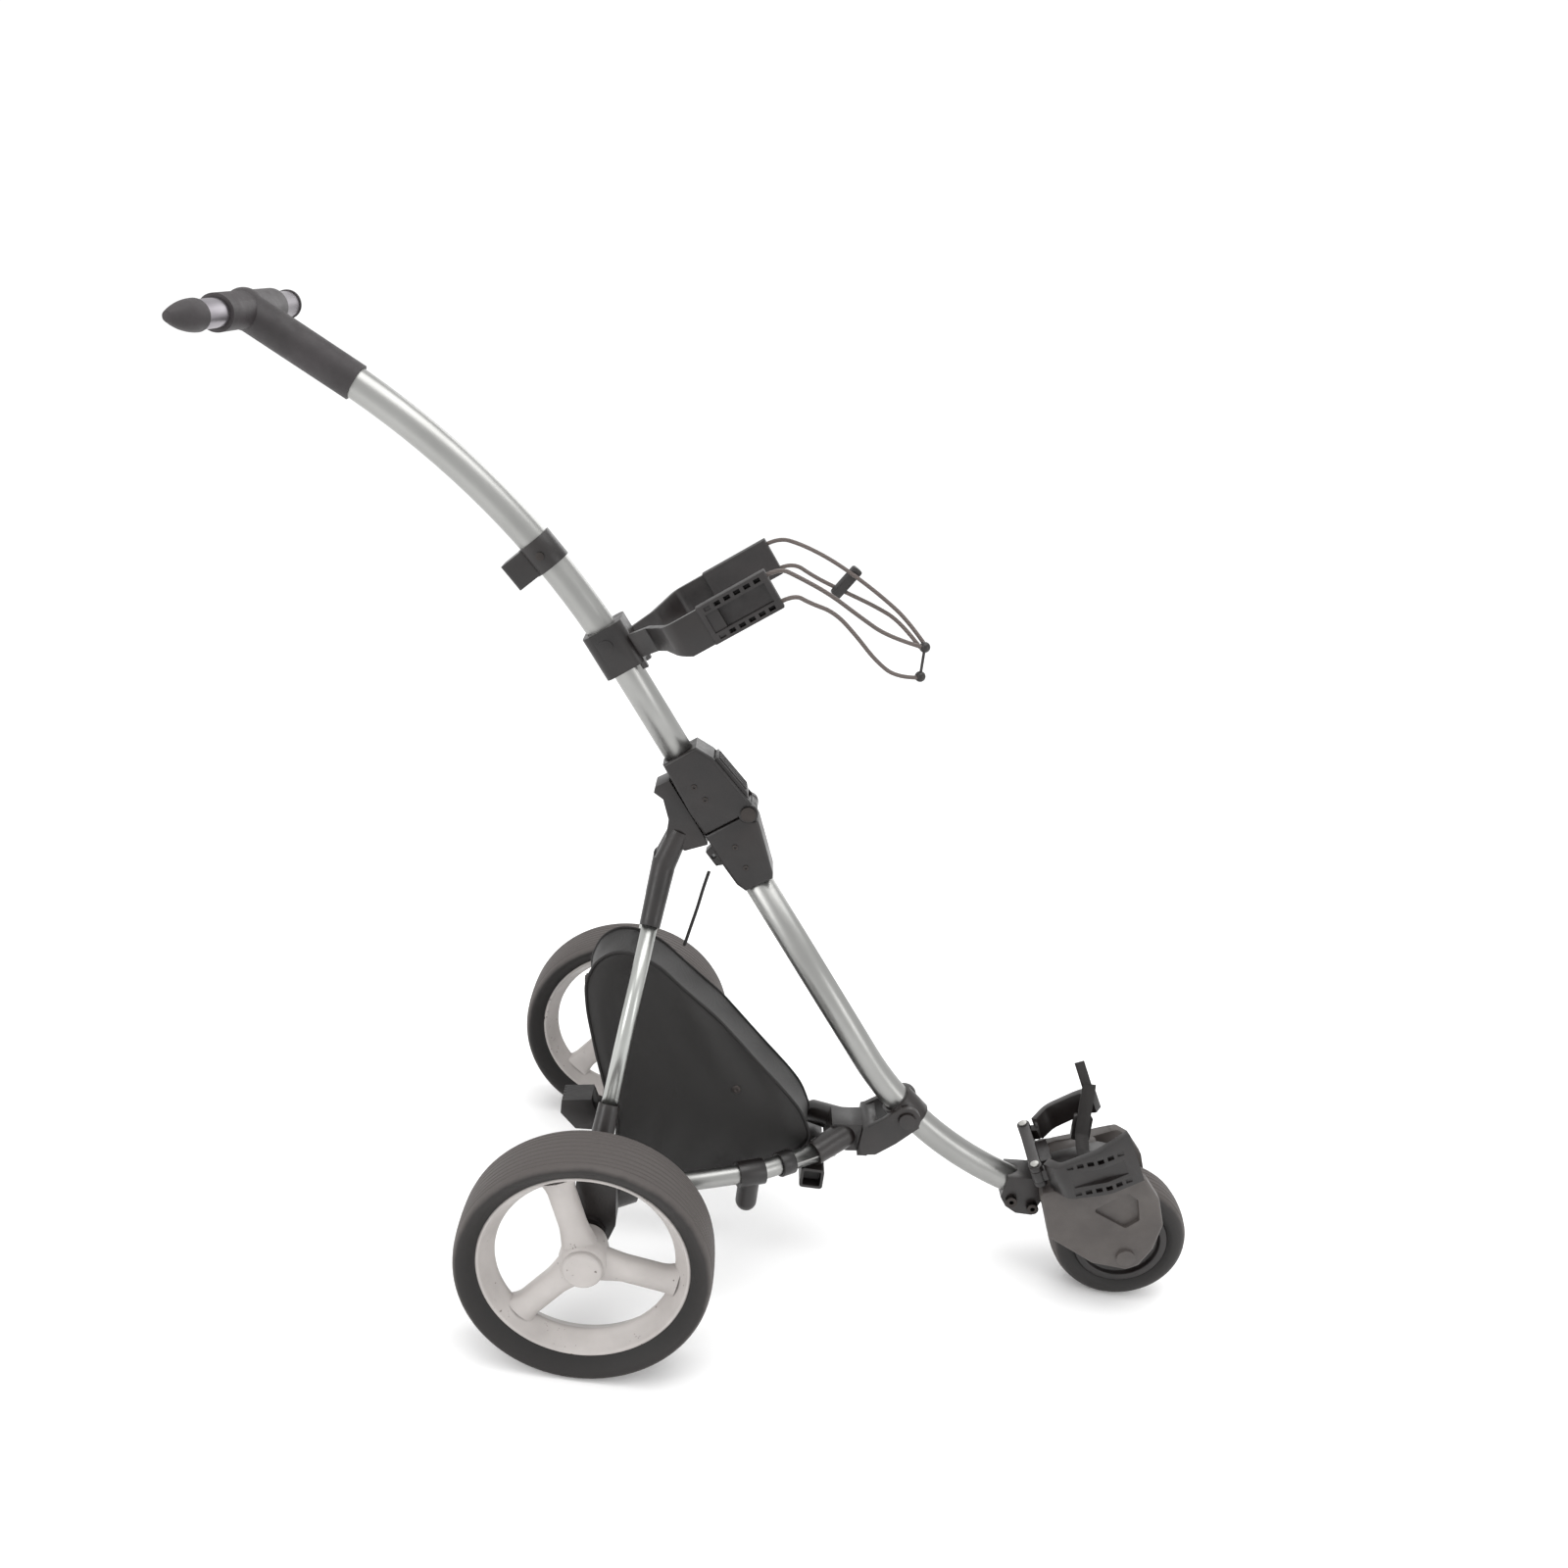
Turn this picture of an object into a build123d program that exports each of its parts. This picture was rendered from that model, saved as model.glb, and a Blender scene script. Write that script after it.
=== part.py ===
from build123d import *
from math import *
import os

# Three-wheeled folding golf trolley. Millimetres, +Z up, +X towards the front wheel,
# +Y to the left of someone pushing it. The ground is Z = 0 and the middle of the
# overall length is X = 0. "left" is +Y, "right" is -Y.

os.makedirs("parts", exist_ok=True)

# ---------------------------------------------------------------- driving dimensions
axle_x = -121.0          # rear axle line
rear_d = 280.0           # rear tyre outside diameter
rear_track = 494.0       # between the rear wheel centres
tyre_w = 72.0
rim_r = 115.6            # tyre seat on the rim
rim_w = 44.0
front_x = axle_x + 640.0
front_d = 164.0
front_w = 66.0
tube_d = 34.0            # main tube
tube_wall = 2.0
hinge_angle = 53.5       # slope of the main tube at the hinge, degrees
hinge_x = axle_x + 37.0  # point on the tube axis where the hinge housing starts
hinge_z = 632.0
handle_x = axle_x - 456.0
handle_z = 1056.0
bar_d = 28.0             # cross bar of the handle
bar_half = 135.0
side_d = 22.0            # side tubes of the undercarriage
strut_d = 18.0
pin_s = 89.8             # main hinge pin: along the tube, and in front of its axis
pin_n = 35.7
collar_x = axle_x + 356.0
collar_z = 216.3
slide_gap = 0.35         # between faces that turn against each other
face_gap = 0.5           # between flat faces of different bodies
bore_fit = 0.3           # pin to turning bore, radial

rear_r = rear_d / 2
front_r = front_d / 2
tube_r = tube_d / 2
yw = rear_track / 2
sides = [("left", 1), ("right", -1)]

ca = cos(radians(hinge_angle))
sa = sin(radians(hinge_angle))
# hinge_plane: x runs down the tube, y points to the front of it, z is -Y
hinge_plane = Plane(origin=(hinge_x, 0, hinge_z), x_dir=(ca, 0, -sa), z_dir=(0, -1, 0))


def on_tube(s, n, y=0.0):
    """Point given along the tube, in front of it and sideways."""
    return (hinge_x + s * ca + n * sa, y, hinge_z - s * sa + n * ca)


def rod(a, b, r, r2=None):
    """Round bar between two points, tapered when r2 is given."""
    d = Vector(*b) - Vector(*a)
    base = Plane(origin=a, z_dir=d)
    with BuildPart() as bar:
        with BuildSketch(base):
            Circle(r)
        if r2 is None:
            extrude(amount=d.length)
        else:
            with BuildSketch(base.offset(d.length)):
                Circle(r2)
            loft()
    return bar.part


def save(builder, name):
    builder.part.label = name
    export_step(builder.part, "parts/" + name + ".step")


# ---------------------------------------------------------------- main tube routes
upper_end = on_tube(72.0, 0)
upper_corner = (axle_x - 166.1, 906.4)
upper_start = (handle_x + 26.0, handle_z - 26.0 * 0.516)
upper_bend = 918.0
with BuildLine(Plane.XZ) as upper_route:
    FilletPolyline(upper_start, upper_corner, (upper_end[0], upper_end[2]), radius=upper_bend)

lower_start = on_tube(108.0, 0)
lower_corner = (axle_x + 373.6, 177.3)
nose_slope = 0.35
nose = (axle_x + 524.0, 177.3 - nose_slope * (524.0 - 373.6))
lower_bend = 415.0
with BuildLine(Plane.XZ) as lower_route:
    FilletPolyline((lower_start[0], lower_start[2]), lower_corner, nose, radius=lower_bend)


def swept(route, outer, inner):
    """Round section carried along a route; hollow when inner > 0."""
    line = route.line
    with BuildPart() as part:
        with BuildSketch(Plane(origin=line @ 0, z_dir=line % 0)):
            Circle(outer)
            if inner > 0:
                Circle(inner, mode=Mode.SUBTRACT)
        sweep(path=line)
    return part.part


upper_core = swept(upper_route, tube_r, 0)
lower_core = swept(lower_route, tube_r, 0)

with BuildPart() as upper_tube:
    add(swept(upper_route, tube_r, tube_r - tube_wall))
save(upper_tube, "upper_tube")

with BuildPart() as lower_tube:
    add(swept(lower_route, tube_r, tube_r - tube_wall))
save(lower_tube, "lower_tube")

# ---------------------------------------------------------------- handle
sleeve_r = 20.0
sleeve_end = (axle_x - 340.0, handle_z - 116.0 * 0.516)
with BuildPart() as handle_sleeve:
    add(rod((handle_x, 0, handle_z), (sleeve_end[0], 0, sleeve_end[1]), sleeve_r))
    add(rod((handle_x, -82, handle_z), (handle_x, 82, handle_z), 18.5))
    with Locations((handle_x, 0, handle_z)):
        Sphere(21.5)
    add(rod((handle_x, -90, handle_z), (handle_x, 90, handle_z), bar_d / 2), mode=Mode.SUBTRACT)
    add(upper_core, mode=Mode.SUBTRACT)
save(handle_sleeve, "handle_sleeve")

with BuildPart() as handle_bar:
    add(rod((handle_x, -bar_half, handle_z), (handle_x, bar_half, handle_z), bar_d / 2))
    add(rod((handle_x, -bar_half, handle_z), (handle_x, bar_half, handle_z), bar_d / 2 - 2),
        mode=Mode.SUBTRACT)
save(handle_bar, "handle_bar")

cap_len = 44.0
for name, side in sides:
    with BuildPart() as grip_cap:
        base = Plane(origin=(handle_x, side * bar_half, handle_z), x_dir=(1, 0, 0),
                     z_dir=(0, side, 0))
        with BuildSketch(base):
            Circle(bar_d / 2 + 1.5)
        with BuildSketch(base.offset(cap_len * 0.45)):
            with Locations((-3, 0)):
                Ellipse(12.5, 13.5)
        with BuildSketch(base.offset(cap_len)):
            with Locations((-9, 0)):
                Ellipse(4.0, 5.0)
        loft()
        with BuildSketch(base):
            Circle(bar_d / 2 - 2.0)
        extrude(amount=-16)
    save(grip_cap, "grip_cap_" + name)

# ---------------------------------------------------------------- main hinge, upper half
housing_half = 20.5
pin_r = 5.0
ear_r = 11.0
lug_half = 12.4
hinge_pin_at = on_tube(pin_s, pin_n)
lever_pivot = (74.0, 36.0)
lever_r = 2.5
lever_knuckle = 3.9
lever_sweep = 9.0         # room the lever's nose needs around its pivot when it is lifted
pocket = [(22, 28.2), (82, 40.6), (82, 60), (12, 60), (12, 37)]
with BuildPart() as hinge_upper:
    with BuildSketch(hinge_plane) as outline:
        with BuildLine():
            Polyline((-6, -19), (-6, 23.5), (14, 34), (76, 43.5), (pin_s, 46.2), (pin_s - 0.3, 20),
                     (pin_s - 0.3, -20.5), (60, -22), close=True)
        make_face()
    extrude(amount=housing_half, both=True)
    fillet(hinge_upper.edges().filter_by(Axis.Y, reverse=True).filter_by_position(
        Axis.Y, housing_half - 0.1, housing_half + 0.1), radius=4)
    fillet(hinge_upper.edges().filter_by(Axis.Y, reverse=True).filter_by_position(
        Axis.Y, -housing_half - 0.1, -housing_half + 0.1), radius=4)
    with BuildSketch(hinge_plane):
        with Locations((pin_s, pin_n)):
            Circle(ear_r)
    extrude(amount=housing_half, both=True)
    with BuildSketch(hinge_plane):
        with Locations((pin_s, pin_n)):
            Circle(ear_r + slide_gap)
        with Locations((pin_s + 10, pin_n - 12)):
            Rectangle(20, 46)
    extrude(amount=lug_half + slide_gap, both=True, mode=Mode.SUBTRACT)
    with BuildSketch(hinge_plane):
        with BuildLine():
            Polyline(*pocket, close=True)
        make_face()
    extrude(amount=15.4, both=True, mode=Mode.SUBTRACT)
    with BuildSketch(hinge_plane):
        with Locations((pin_s, pin_n)):
            Circle(pin_r + bore_fit)
    extrude(amount=housing_half + 5, both=True, mode=Mode.SUBTRACT)
    with BuildSketch(hinge_plane):
        with Locations(lever_pivot):
            Circle(lever_r + bore_fit)
    extrude(amount=housing_half - 1, both=True, mode=Mode.SUBTRACT)
    with BuildSketch(hinge_plane):
        with Locations(lever_pivot):
            Circle(lever_sweep)
    extrude(amount=15.4, both=True, mode=Mode.SUBTRACT)
    add(upper_core, mode=Mode.SUBTRACT)
save(hinge_upper, "hinge_upper")

with BuildPart() as latch_lever:
    with BuildSketch(hinge_plane):
        with BuildLine():
            Polyline((17, 33.0), (17, 38.0), (68, 46.0), (76, 43.5), (77, 40.3), (24, 29.4), close=True)
        make_face()
    extrude(amount=14.9, both=True)
    with BuildSketch(hinge_plane):
        with Locations(lever_pivot):
            Circle(lever_knuckle)
    extrude(amount=14.9, both=True)
    for rib in (-9, -3, 3, 9):
        with BuildSketch(hinge_plane.offset(rib - 1)):
            with BuildLine():
                Polyline((19, 38.0), (19, 39.8), (66, 47.2), (67, 45.6), close=True)
            make_face()
        extrude(amount=2)
    with BuildSketch(hinge_plane):
        with Locations(lever_pivot):
            Circle(lever_r)
    extrude(amount=housing_half - 1.5, both=True)
save(latch_lever, "latch_lever")

# ---------------------------------------------------------------- main hinge, lower half
with BuildPart() as hinge_lower:
    with BuildSketch(hinge_plane):
        with BuildLine():
            Polyline((pin_s + 0.3, -20.5), (132, -21), (160, -19), (172, -14), (173, 21), (168, 24),
                     (142, 31), (108, 40), (pin_s + 0.3, 42), close=True)
        make_face()
    extrude(amount=housing_half, both=True)
    fillet(hinge_lower.edges().filter_by(Axis.Y, reverse=True).filter_by_position(
        Axis.Y, housing_half - 0.1, housing_half + 0.1), radius=4)
    fillet(hinge_lower.edges().filter_by(Axis.Y, reverse=True).filter_by_position(
        Axis.Y, -housing_half - 0.1, -housing_half + 0.1), radius=4)
    with BuildSketch(hinge_plane):
        with Locations((pin_s, pin_n)):
            Circle(ear_r + slide_gap)
        with BuildLine():
            Polyline((pin_s - 2, pin_n - 2), (pin_s + 11.3, pin_n - 2), (pin_s + 11.3, pin_n + 14),
                     (pin_s - 2, pin_n + 14), close=True)
        make_face()
    extrude(amount=housing_half + 1, both=True, mode=Mode.SUBTRACT)
    with BuildSketch(hinge_plane):
        with Locations((pin_s, pin_n)):
            Circle(ear_r - 0.4)
        with BuildLine():
            Polyline((pin_s + 0.3, pin_n - 16), (pin_s + 16, pin_n - 16), (pin_s + 16, pin_n + 2.5),
                     (pin_s + 2, pin_n + 10), (pin_s + 0.3, pin_n), close=True)
        make_face()
    extrude(amount=lug_half, both=True)
    # stop face: the upper half comes to rest against it when the handle is folded
    with BuildSketch(hinge_plane):
        with BuildLine():
            Polyline((pin_s + 10.1, pin_n - 5.5), (pin_s + 14.7, pin_n + 7.9), (pin_s + 20, pin_n + 20),
                     (pin_s, pin_n + 20), (pin_s, pin_n), close=True)
        make_face()
        with Locations((pin_s, pin_n)):
            Circle(ear_r - 0.4, mode=Mode.SUBTRACT)
    extrude(amount=housing_half + 1, both=True, mode=Mode.SUBTRACT)
    with BuildSketch(hinge_plane):
        with Locations((pin_s, pin_n)):
            Circle(pin_r)
    extrude(amount=housing_half + 5, both=True, mode=Mode.SUBTRACT)
    add(lower_core, mode=Mode.SUBTRACT)
save(hinge_lower, "hinge_lower")

with BuildPart() as hinge_pin:
    with BuildSketch(hinge_plane):
        with Locations((pin_s, pin_n)):
            Circle(pin_r)
    extrude(amount=housing_half + 1, both=True)
    for side in (1, -1):
        with BuildSketch(hinge_plane.offset(side * (housing_half + face_gap))):
            with Locations((pin_s, pin_n)):
                Circle(8.5)
        extrude(amount=side * 2.5)
save(hinge_pin, "hinge_pin")


def side_screws(spots, reach):
    """Socket screw heads on both cheeks of a housing, one solid each."""
    with BuildPart() as screws:
        for side in (1, -1):
            with BuildSketch(hinge_plane.offset(side * reach)):
                with Locations(*spots):
                    Circle(3.2)
                    RegularPolygon(1.6, 6, mode=Mode.SUBTRACT)
            extrude(amount=side * 1.2)
    return screws


upper_screws = side_screws([(33, -1), (52, 2)], housing_half)
save(upper_screws, "hinge_screws_upper")
lower_screws = side_screws([(118, 3), (146, 1)], housing_half)
save(lower_screws, "hinge_screws_lower")

# hook under the hinge that the pouch strap hangs from
with BuildPart() as strap_hook:
    with BuildSketch(hinge_plane):
        with BuildLine():
            Polyline((109, -20.8), (136, -20.8), (133, -31), (112, -33), close=True)
        make_face()
        with Locations((121, -27)):
            Circle(2.6, mode=Mode.SUBTRACT)
    extrude(amount=7, both=True)
    add(hinge_lower.part, mode=Mode.SUBTRACT)
save(strap_hook, "strap_hook")

# ---------------------------------------------------------------- accessory clamp
clamp_at = (axle_x - 134.0, 0, 843.0)
clamp_plane = Plane(origin=clamp_at, x_dir=(0, 1, 0), z_dir=(0.70, 0, -0.714))
# the clamp band is a plain ring; its rear block has the round accessory socket
clamp_r = 20.5
socket_d = 9.0
socket_depth = 16.0
socket_mouth = -43.5     # rear face of the clamp block, along y of clamp_plane
with BuildPart() as accessory_clamp:
    with BuildSketch(clamp_plane):
        Circle(clamp_r)
    extrude(amount=17, both=True)
    with BuildSketch(clamp_plane):
        with Locations((0, -28)):
            RectangleRounded(30, 31, 4)
    extrude(amount=16, both=True)
    add(upper_core, mode=Mode.SUBTRACT)
    with BuildSketch(Plane(origin=clamp_plane.from_local_coords(Vector(0, socket_mouth, 0)),
                           z_dir=-clamp_plane.y_dir)):
        Circle(socket_d / 2)
    extrude(amount=-socket_depth, mode=Mode.SUBTRACT)
save(accessory_clamp, "accessory_clamp")

with BuildPart() as clamp_screws:
    for side in (1, -1):
        with BuildSketch(Plane(origin=(clamp_at[0], side * 18, clamp_at[2]), z_dir=(0, side, 0))):
            Circle(4.5)
        extrude(amount=5.5)
    add(accessory_clamp.part, mode=Mode.SUBTRACT)
save(clamp_screws, "clamp_screws")

# ---------------------------------------------------------------- upper bag cradle
cradle_s = -145.0
arm_high = 7.0           # arm edges above and below the middle of the clamp block
arm_low = 34.0
cradle_plane = Plane(origin=on_tube(cradle_s, 0), x_dir=(sa, 0, ca), z_dir=(ca, 0, -sa))
# x of cradle_plane points away from the tube, y points to -Y
arm_t = 6.0
arm_y = 82.0
pad_from = 112.0
pad_to = 192.0
pad_in = arm_y - 9.0
pad_out = arm_y + 5.0
with BuildPart() as upper_cradle:
    with BuildSketch(cradle_plane):
        with Locations((2, 0)):
            RectangleRounded(48, 50, 10)
    extrude(amount=26, both=True)
    for side in (1, -1):
        with BuildSketch(cradle_plane):
            with BuildLine():
                FilletPolyline((20, side * 14), (50, side * 34), (76, side * arm_y),
                               (pad_from + 20, side * arm_y), radius=14)
            trace(line_width=arm_t)
        extrude(amount=arm_low)
        with BuildSketch(cradle_plane):
            with BuildLine():
                FilletPolyline((20, side * 14), (50, side * 34), (76, side * arm_y),
                               (pad_from + 20, side * arm_y), radius=14)
            trace(line_width=arm_t)
        extrude(amount=-arm_high)
    for side in (1, -1):
        with BuildSketch(Plane(origin=on_tube(cradle_s - 8, -2, side * 24), z_dir=(0, side, 0))):
            Circle(8)
        extrude(amount=3)
    # the arms are shallower near the tube
    with BuildSketch(Plane.XZ):
        with BuildLine():
            Polyline(on_tube(cradle_s + 21, 26)[::2], on_tube(cradle_s + 21, 60)[::2],
                     on_tube(cradle_s + 36, 90)[::2], on_tube(cradle_s + 60, 90)[::2],
                     on_tube(cradle_s + 60, 26)[::2], close=True)
        make_face()
    extrude(amount=120, both=True, mode=Mode.SUBTRACT)
    add(upper_core, mode=Mode.SUBTRACT)
save(upper_cradle, "upper_cradle")

pad_mid = (pad_from + pad_to) / 2
pad_drop = 13.0
cord_d = 4.6
cord_row = 15.5
pad_len = pad_to - pad_from
for name, side in sides:
    yc = -side * (pad_in + pad_out) / 2
    with BuildPart() as pad:
        with BuildSketch(cradle_plane.offset(pad_drop)):
            with Locations((pad_mid, yc)):
                RectangleRounded(pad_len, pad_out - pad_in, 2)
        extrude(amount=21.5, both=True)
        # long open recess seen from outside, with a row of small windows above and below it
        face = Plane(origin=cradle_plane.from_local_coords(Vector(pad_mid, -side * pad_out, pad_drop)),
                     x_dir=cradle_plane.x_dir, z_dir=(0, side, 0))
        with BuildSketch(face):
            Rectangle(pad_len - 12, 22)
        extrude(amount=-9, mode=Mode.SUBTRACT)
        with BuildSketch(face):
            for row in (-16.2, 16.2):
                with Locations((0, row)):
                    with GridLocations(11.5, 1, 6, 1):
                        Rectangle(7, 4.5)
        extrude(amount=-9, mode=Mode.SUBTRACT)
        add(upper_cradle.part, mode=Mode.SUBTRACT)
        # holes in the end face that the elastic cords are knotted into
        tip = Plane(origin=cradle_plane.from_local_coords(Vector(pad_to, yc, pad_drop)),
                    x_dir=(0, 1, 0), z_dir=cradle_plane.x_dir)
        with BuildSketch(tip):
            with Locations((0, cord_row), (0, -cord_row)):
                Circle(cord_d / 2)
        extrude(amount=-8, mode=Mode.SUBTRACT)
    save(pad, "upper_pad_" + name)

# ---------------------------------------------------------------- front fork and tube end
core_half = 19.0
with BuildPart() as fork_core:
    with BuildSketch(Plane.XZ):
        with BuildLine():
            Polyline(*[(axle_x + x, z) for x, z in
                       [(492, 148), (520, 150), (556, 170), (600, 190), (636, 187), (636, 174),
                        (600, 180), (566, 168), (548, 148), (538, 122), (530, 98), (510, 98),
                        (496, 106), (488, 118)]], close=True)
        make_face()
    extrude(amount=core_half, both=True)
    add(lower_core, mode=Mode.SUBTRACT)
core_solid = fork_core.part
covers = {}

cover_in = 39.0
cover_out = 55.0
front_axle_at = (front_x, front_r)
cover_pts = [(524, 152), (556, 170), (628, 197), (644, 190), (664, 166), (676, 132), (672, 96),
             (660, 70), (646, 61), (604, 64), (568, 82), (546, 93), (533, 128)]
for name, side in sides:
    with BuildPart() as cover:
        with BuildSketch(Plane.XZ.offset(-side * cover_in)):
            with BuildLine():
                Polyline(*[(axle_x + x, z) for x, z in cover_pts], close=True)
            make_face()
            fillet(vertices(), radius=6)
        extrude(amount=-side * (cover_out - cover_in))
        outer = cover.faces().sort_by(Axis.Y)[-1 if side > 0 else 0]
        fillet(outer.edges(), radius=5)
        with BuildSketch(Plane.XZ.offset(-side * (cover_out - 6))):
            with BuildLine():
                Polyline((axle_x + 588, 141), (axle_x + 624, 172), (axle_x + 638, 164),
                         (axle_x + 646, 136), (axle_x + 632, 122), close=True)
            make_face()
            fillet(vertices(), radius=4)
        extrude(amount=-side * 8, mode=Mode.SUBTRACT)
        # root flange that meets the cast core
        with BuildSketch(Plane.XZ.offset(-side * core_half)):
            with BuildLine():
                Polyline(*[(axle_x + x, z) for x, z in
                           [(528, 150), (556, 168), (600, 187), (600, 180), (562, 166), (542, 140),
                            (538, 122), (534, 126)]], close=True)
            make_face()
        extrude(amount=-side * (cover_in - core_half))
        with BuildSketch(Plane.XZ.offset(-side * cover_in)):
            with Locations(front_axle_at):
                Circle(11)
        extrude(amount=-side * (cover_out - cover_in + 5))
        with BuildSketch(Plane.XZ.offset(-side * cover_in)):
            with Locations(front_axle_at):
                Circle(4)
        extrude(amount=-side * 14, mode=Mode.SUBTRACT)
    covers[name] = cover.part

with BuildPart() as front_axle:
    with BuildSketch(Plane.XZ):
        with Locations(front_axle_at):
            Circle(4)
    extrude(amount=cover_in + 14, both=True)
save(front_axle, "front_axle")

with BuildPart() as fork_bolts:
    for side in (1, -1):
        for x, z in ((528, 110), (501, 116)):
            with BuildSketch(Plane.XZ.offset(-side * core_half)):
                with Locations((axle_x + x, z)):
                    Circle(7)
                    RegularPolygon(3, 6, mode=Mode.SUBTRACT)
            extrude(amount=-side * 6)
save(fork_bolts, "fork_bolts")

# ---------------------------------------------------------------- front wheel
hub_r = 17.0
with BuildPart() as front_rim:
    base = Plane(origin=(front_x, 0, front_r), x_dir=(1, 0, 0), z_dir=(0, 0, 1))
    with BuildSketch(base):
        with BuildLine():
            Polyline((4 + bore_fit, -35), (12, -35), (14, -20), (46, -24), (48, -30), (56, -30),
                     (56, 30), (48, 30), (46, 24), (14, 20), (12, 35), (4 + bore_fit, 35), close=True)
        make_face()
    revolve(axis=Axis((front_x, 0, front_r), (0, 1, 0)))
save(front_rim, "front_rim")

with BuildPart() as front_tyre:
    with BuildSketch(base):
        with BuildLine():
            Polyline((56, -30), (70, front_w / -2), (76, -30), (80, -22), (front_r, -8), (front_r, 8),
                     (80, 22), (76, 30), (70, front_w / 2), (56, 30), close=True)
        make_face()
        # shallow grooves round the tread
        with Locations(*[(front_r - 0.3, y) for y in (-15, -5, 5, 15)]):
            Rectangle(3.0, 1.6, mode=Mode.SUBTRACT)
    revolve(axis=Axis((front_x, 0, front_r), (0, 1, 0)))
save(front_tyre, "front_tyre")

# ---------------------------------------------------------------- lower bag cradle
# A cross plate on the nose of the frame carries one swinging arm on each side.
knuckle = (axle_x + 519.0, 174.0)
knuckle_y = 42.0
lean = 27.0              # the cradle faces forward and up by this angle
base_plane = Plane(origin=(knuckle[0], 0, knuckle[1]), x_dir=(cos(radians(lean)), 0, sin(radians(lean))),
                   z_dir=(sin(radians(lean)), 0, -cos(radians(lean))))
# x of base_plane points forward and up, y points to -Y, z runs down the hinge pins
plate_h = 28.0
hinge_r = 3.0
arm_h = 50.0
with BuildPart() as lower_cradle:
    with BuildSketch(base_plane):
        Rectangle(14, 2 * knuckle_y - 16)
        with Locations((0, knuckle_y), (0, -knuckle_y)):
            Circle(8)
        with Locations((0, knuckle_y - 6), (0, 6 - knuckle_y)):
            Rectangle(14, 12)
        with Locations((0, knuckle_y), (0, -knuckle_y)):
            Circle(hinge_r, mode=Mode.SUBTRACT)
    extrude(amount=plate_h / 2, both=True)
    # foot that sits on the cast core
    with BuildSketch(base_plane):
        with Locations((8, 0)):
            Rectangle(26, 40)
    extrude(amount=28)
    add(fork_core.part, mode=Mode.SUBTRACT)
    add(lower_core, mode=Mode.SUBTRACT)
    # room for the arm knuckles between the plate ears
    with BuildSketch(base_plane):
        with Locations((0, knuckle_y), (0, -knuckle_y)):
            Rectangle(40, 26)
    extrude(amount=7 + face_gap / 2, both=True, mode=Mode.SUBTRACT)
save(lower_cradle, "lower_cradle")

with BuildPart() as cradle_pins:
    with BuildSketch(base_plane.offset(-plate_h / 2 - 1)):
        with Locations((0, knuckle_y), (0, -knuckle_y)):
            Circle(hinge_r)
    extrude(amount=plate_h + 2)
    with BuildSketch(base_plane.offset(-plate_h / 2)):
        with Locations((0, knuckle_y), (0, -knuckle_y)):
            Circle(5)
    extrude(amount=-2)
save(cradle_pins, "cradle_pins")

# the left arm rests swung in; both can swing between arm_out and arm_in
arm_in = 24.0
arm_out = -12.0
arm_turn = {"left": 24.0, "right": 0.0}
arm_reach = {"left": 92.0, "right": 114.0}
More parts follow.
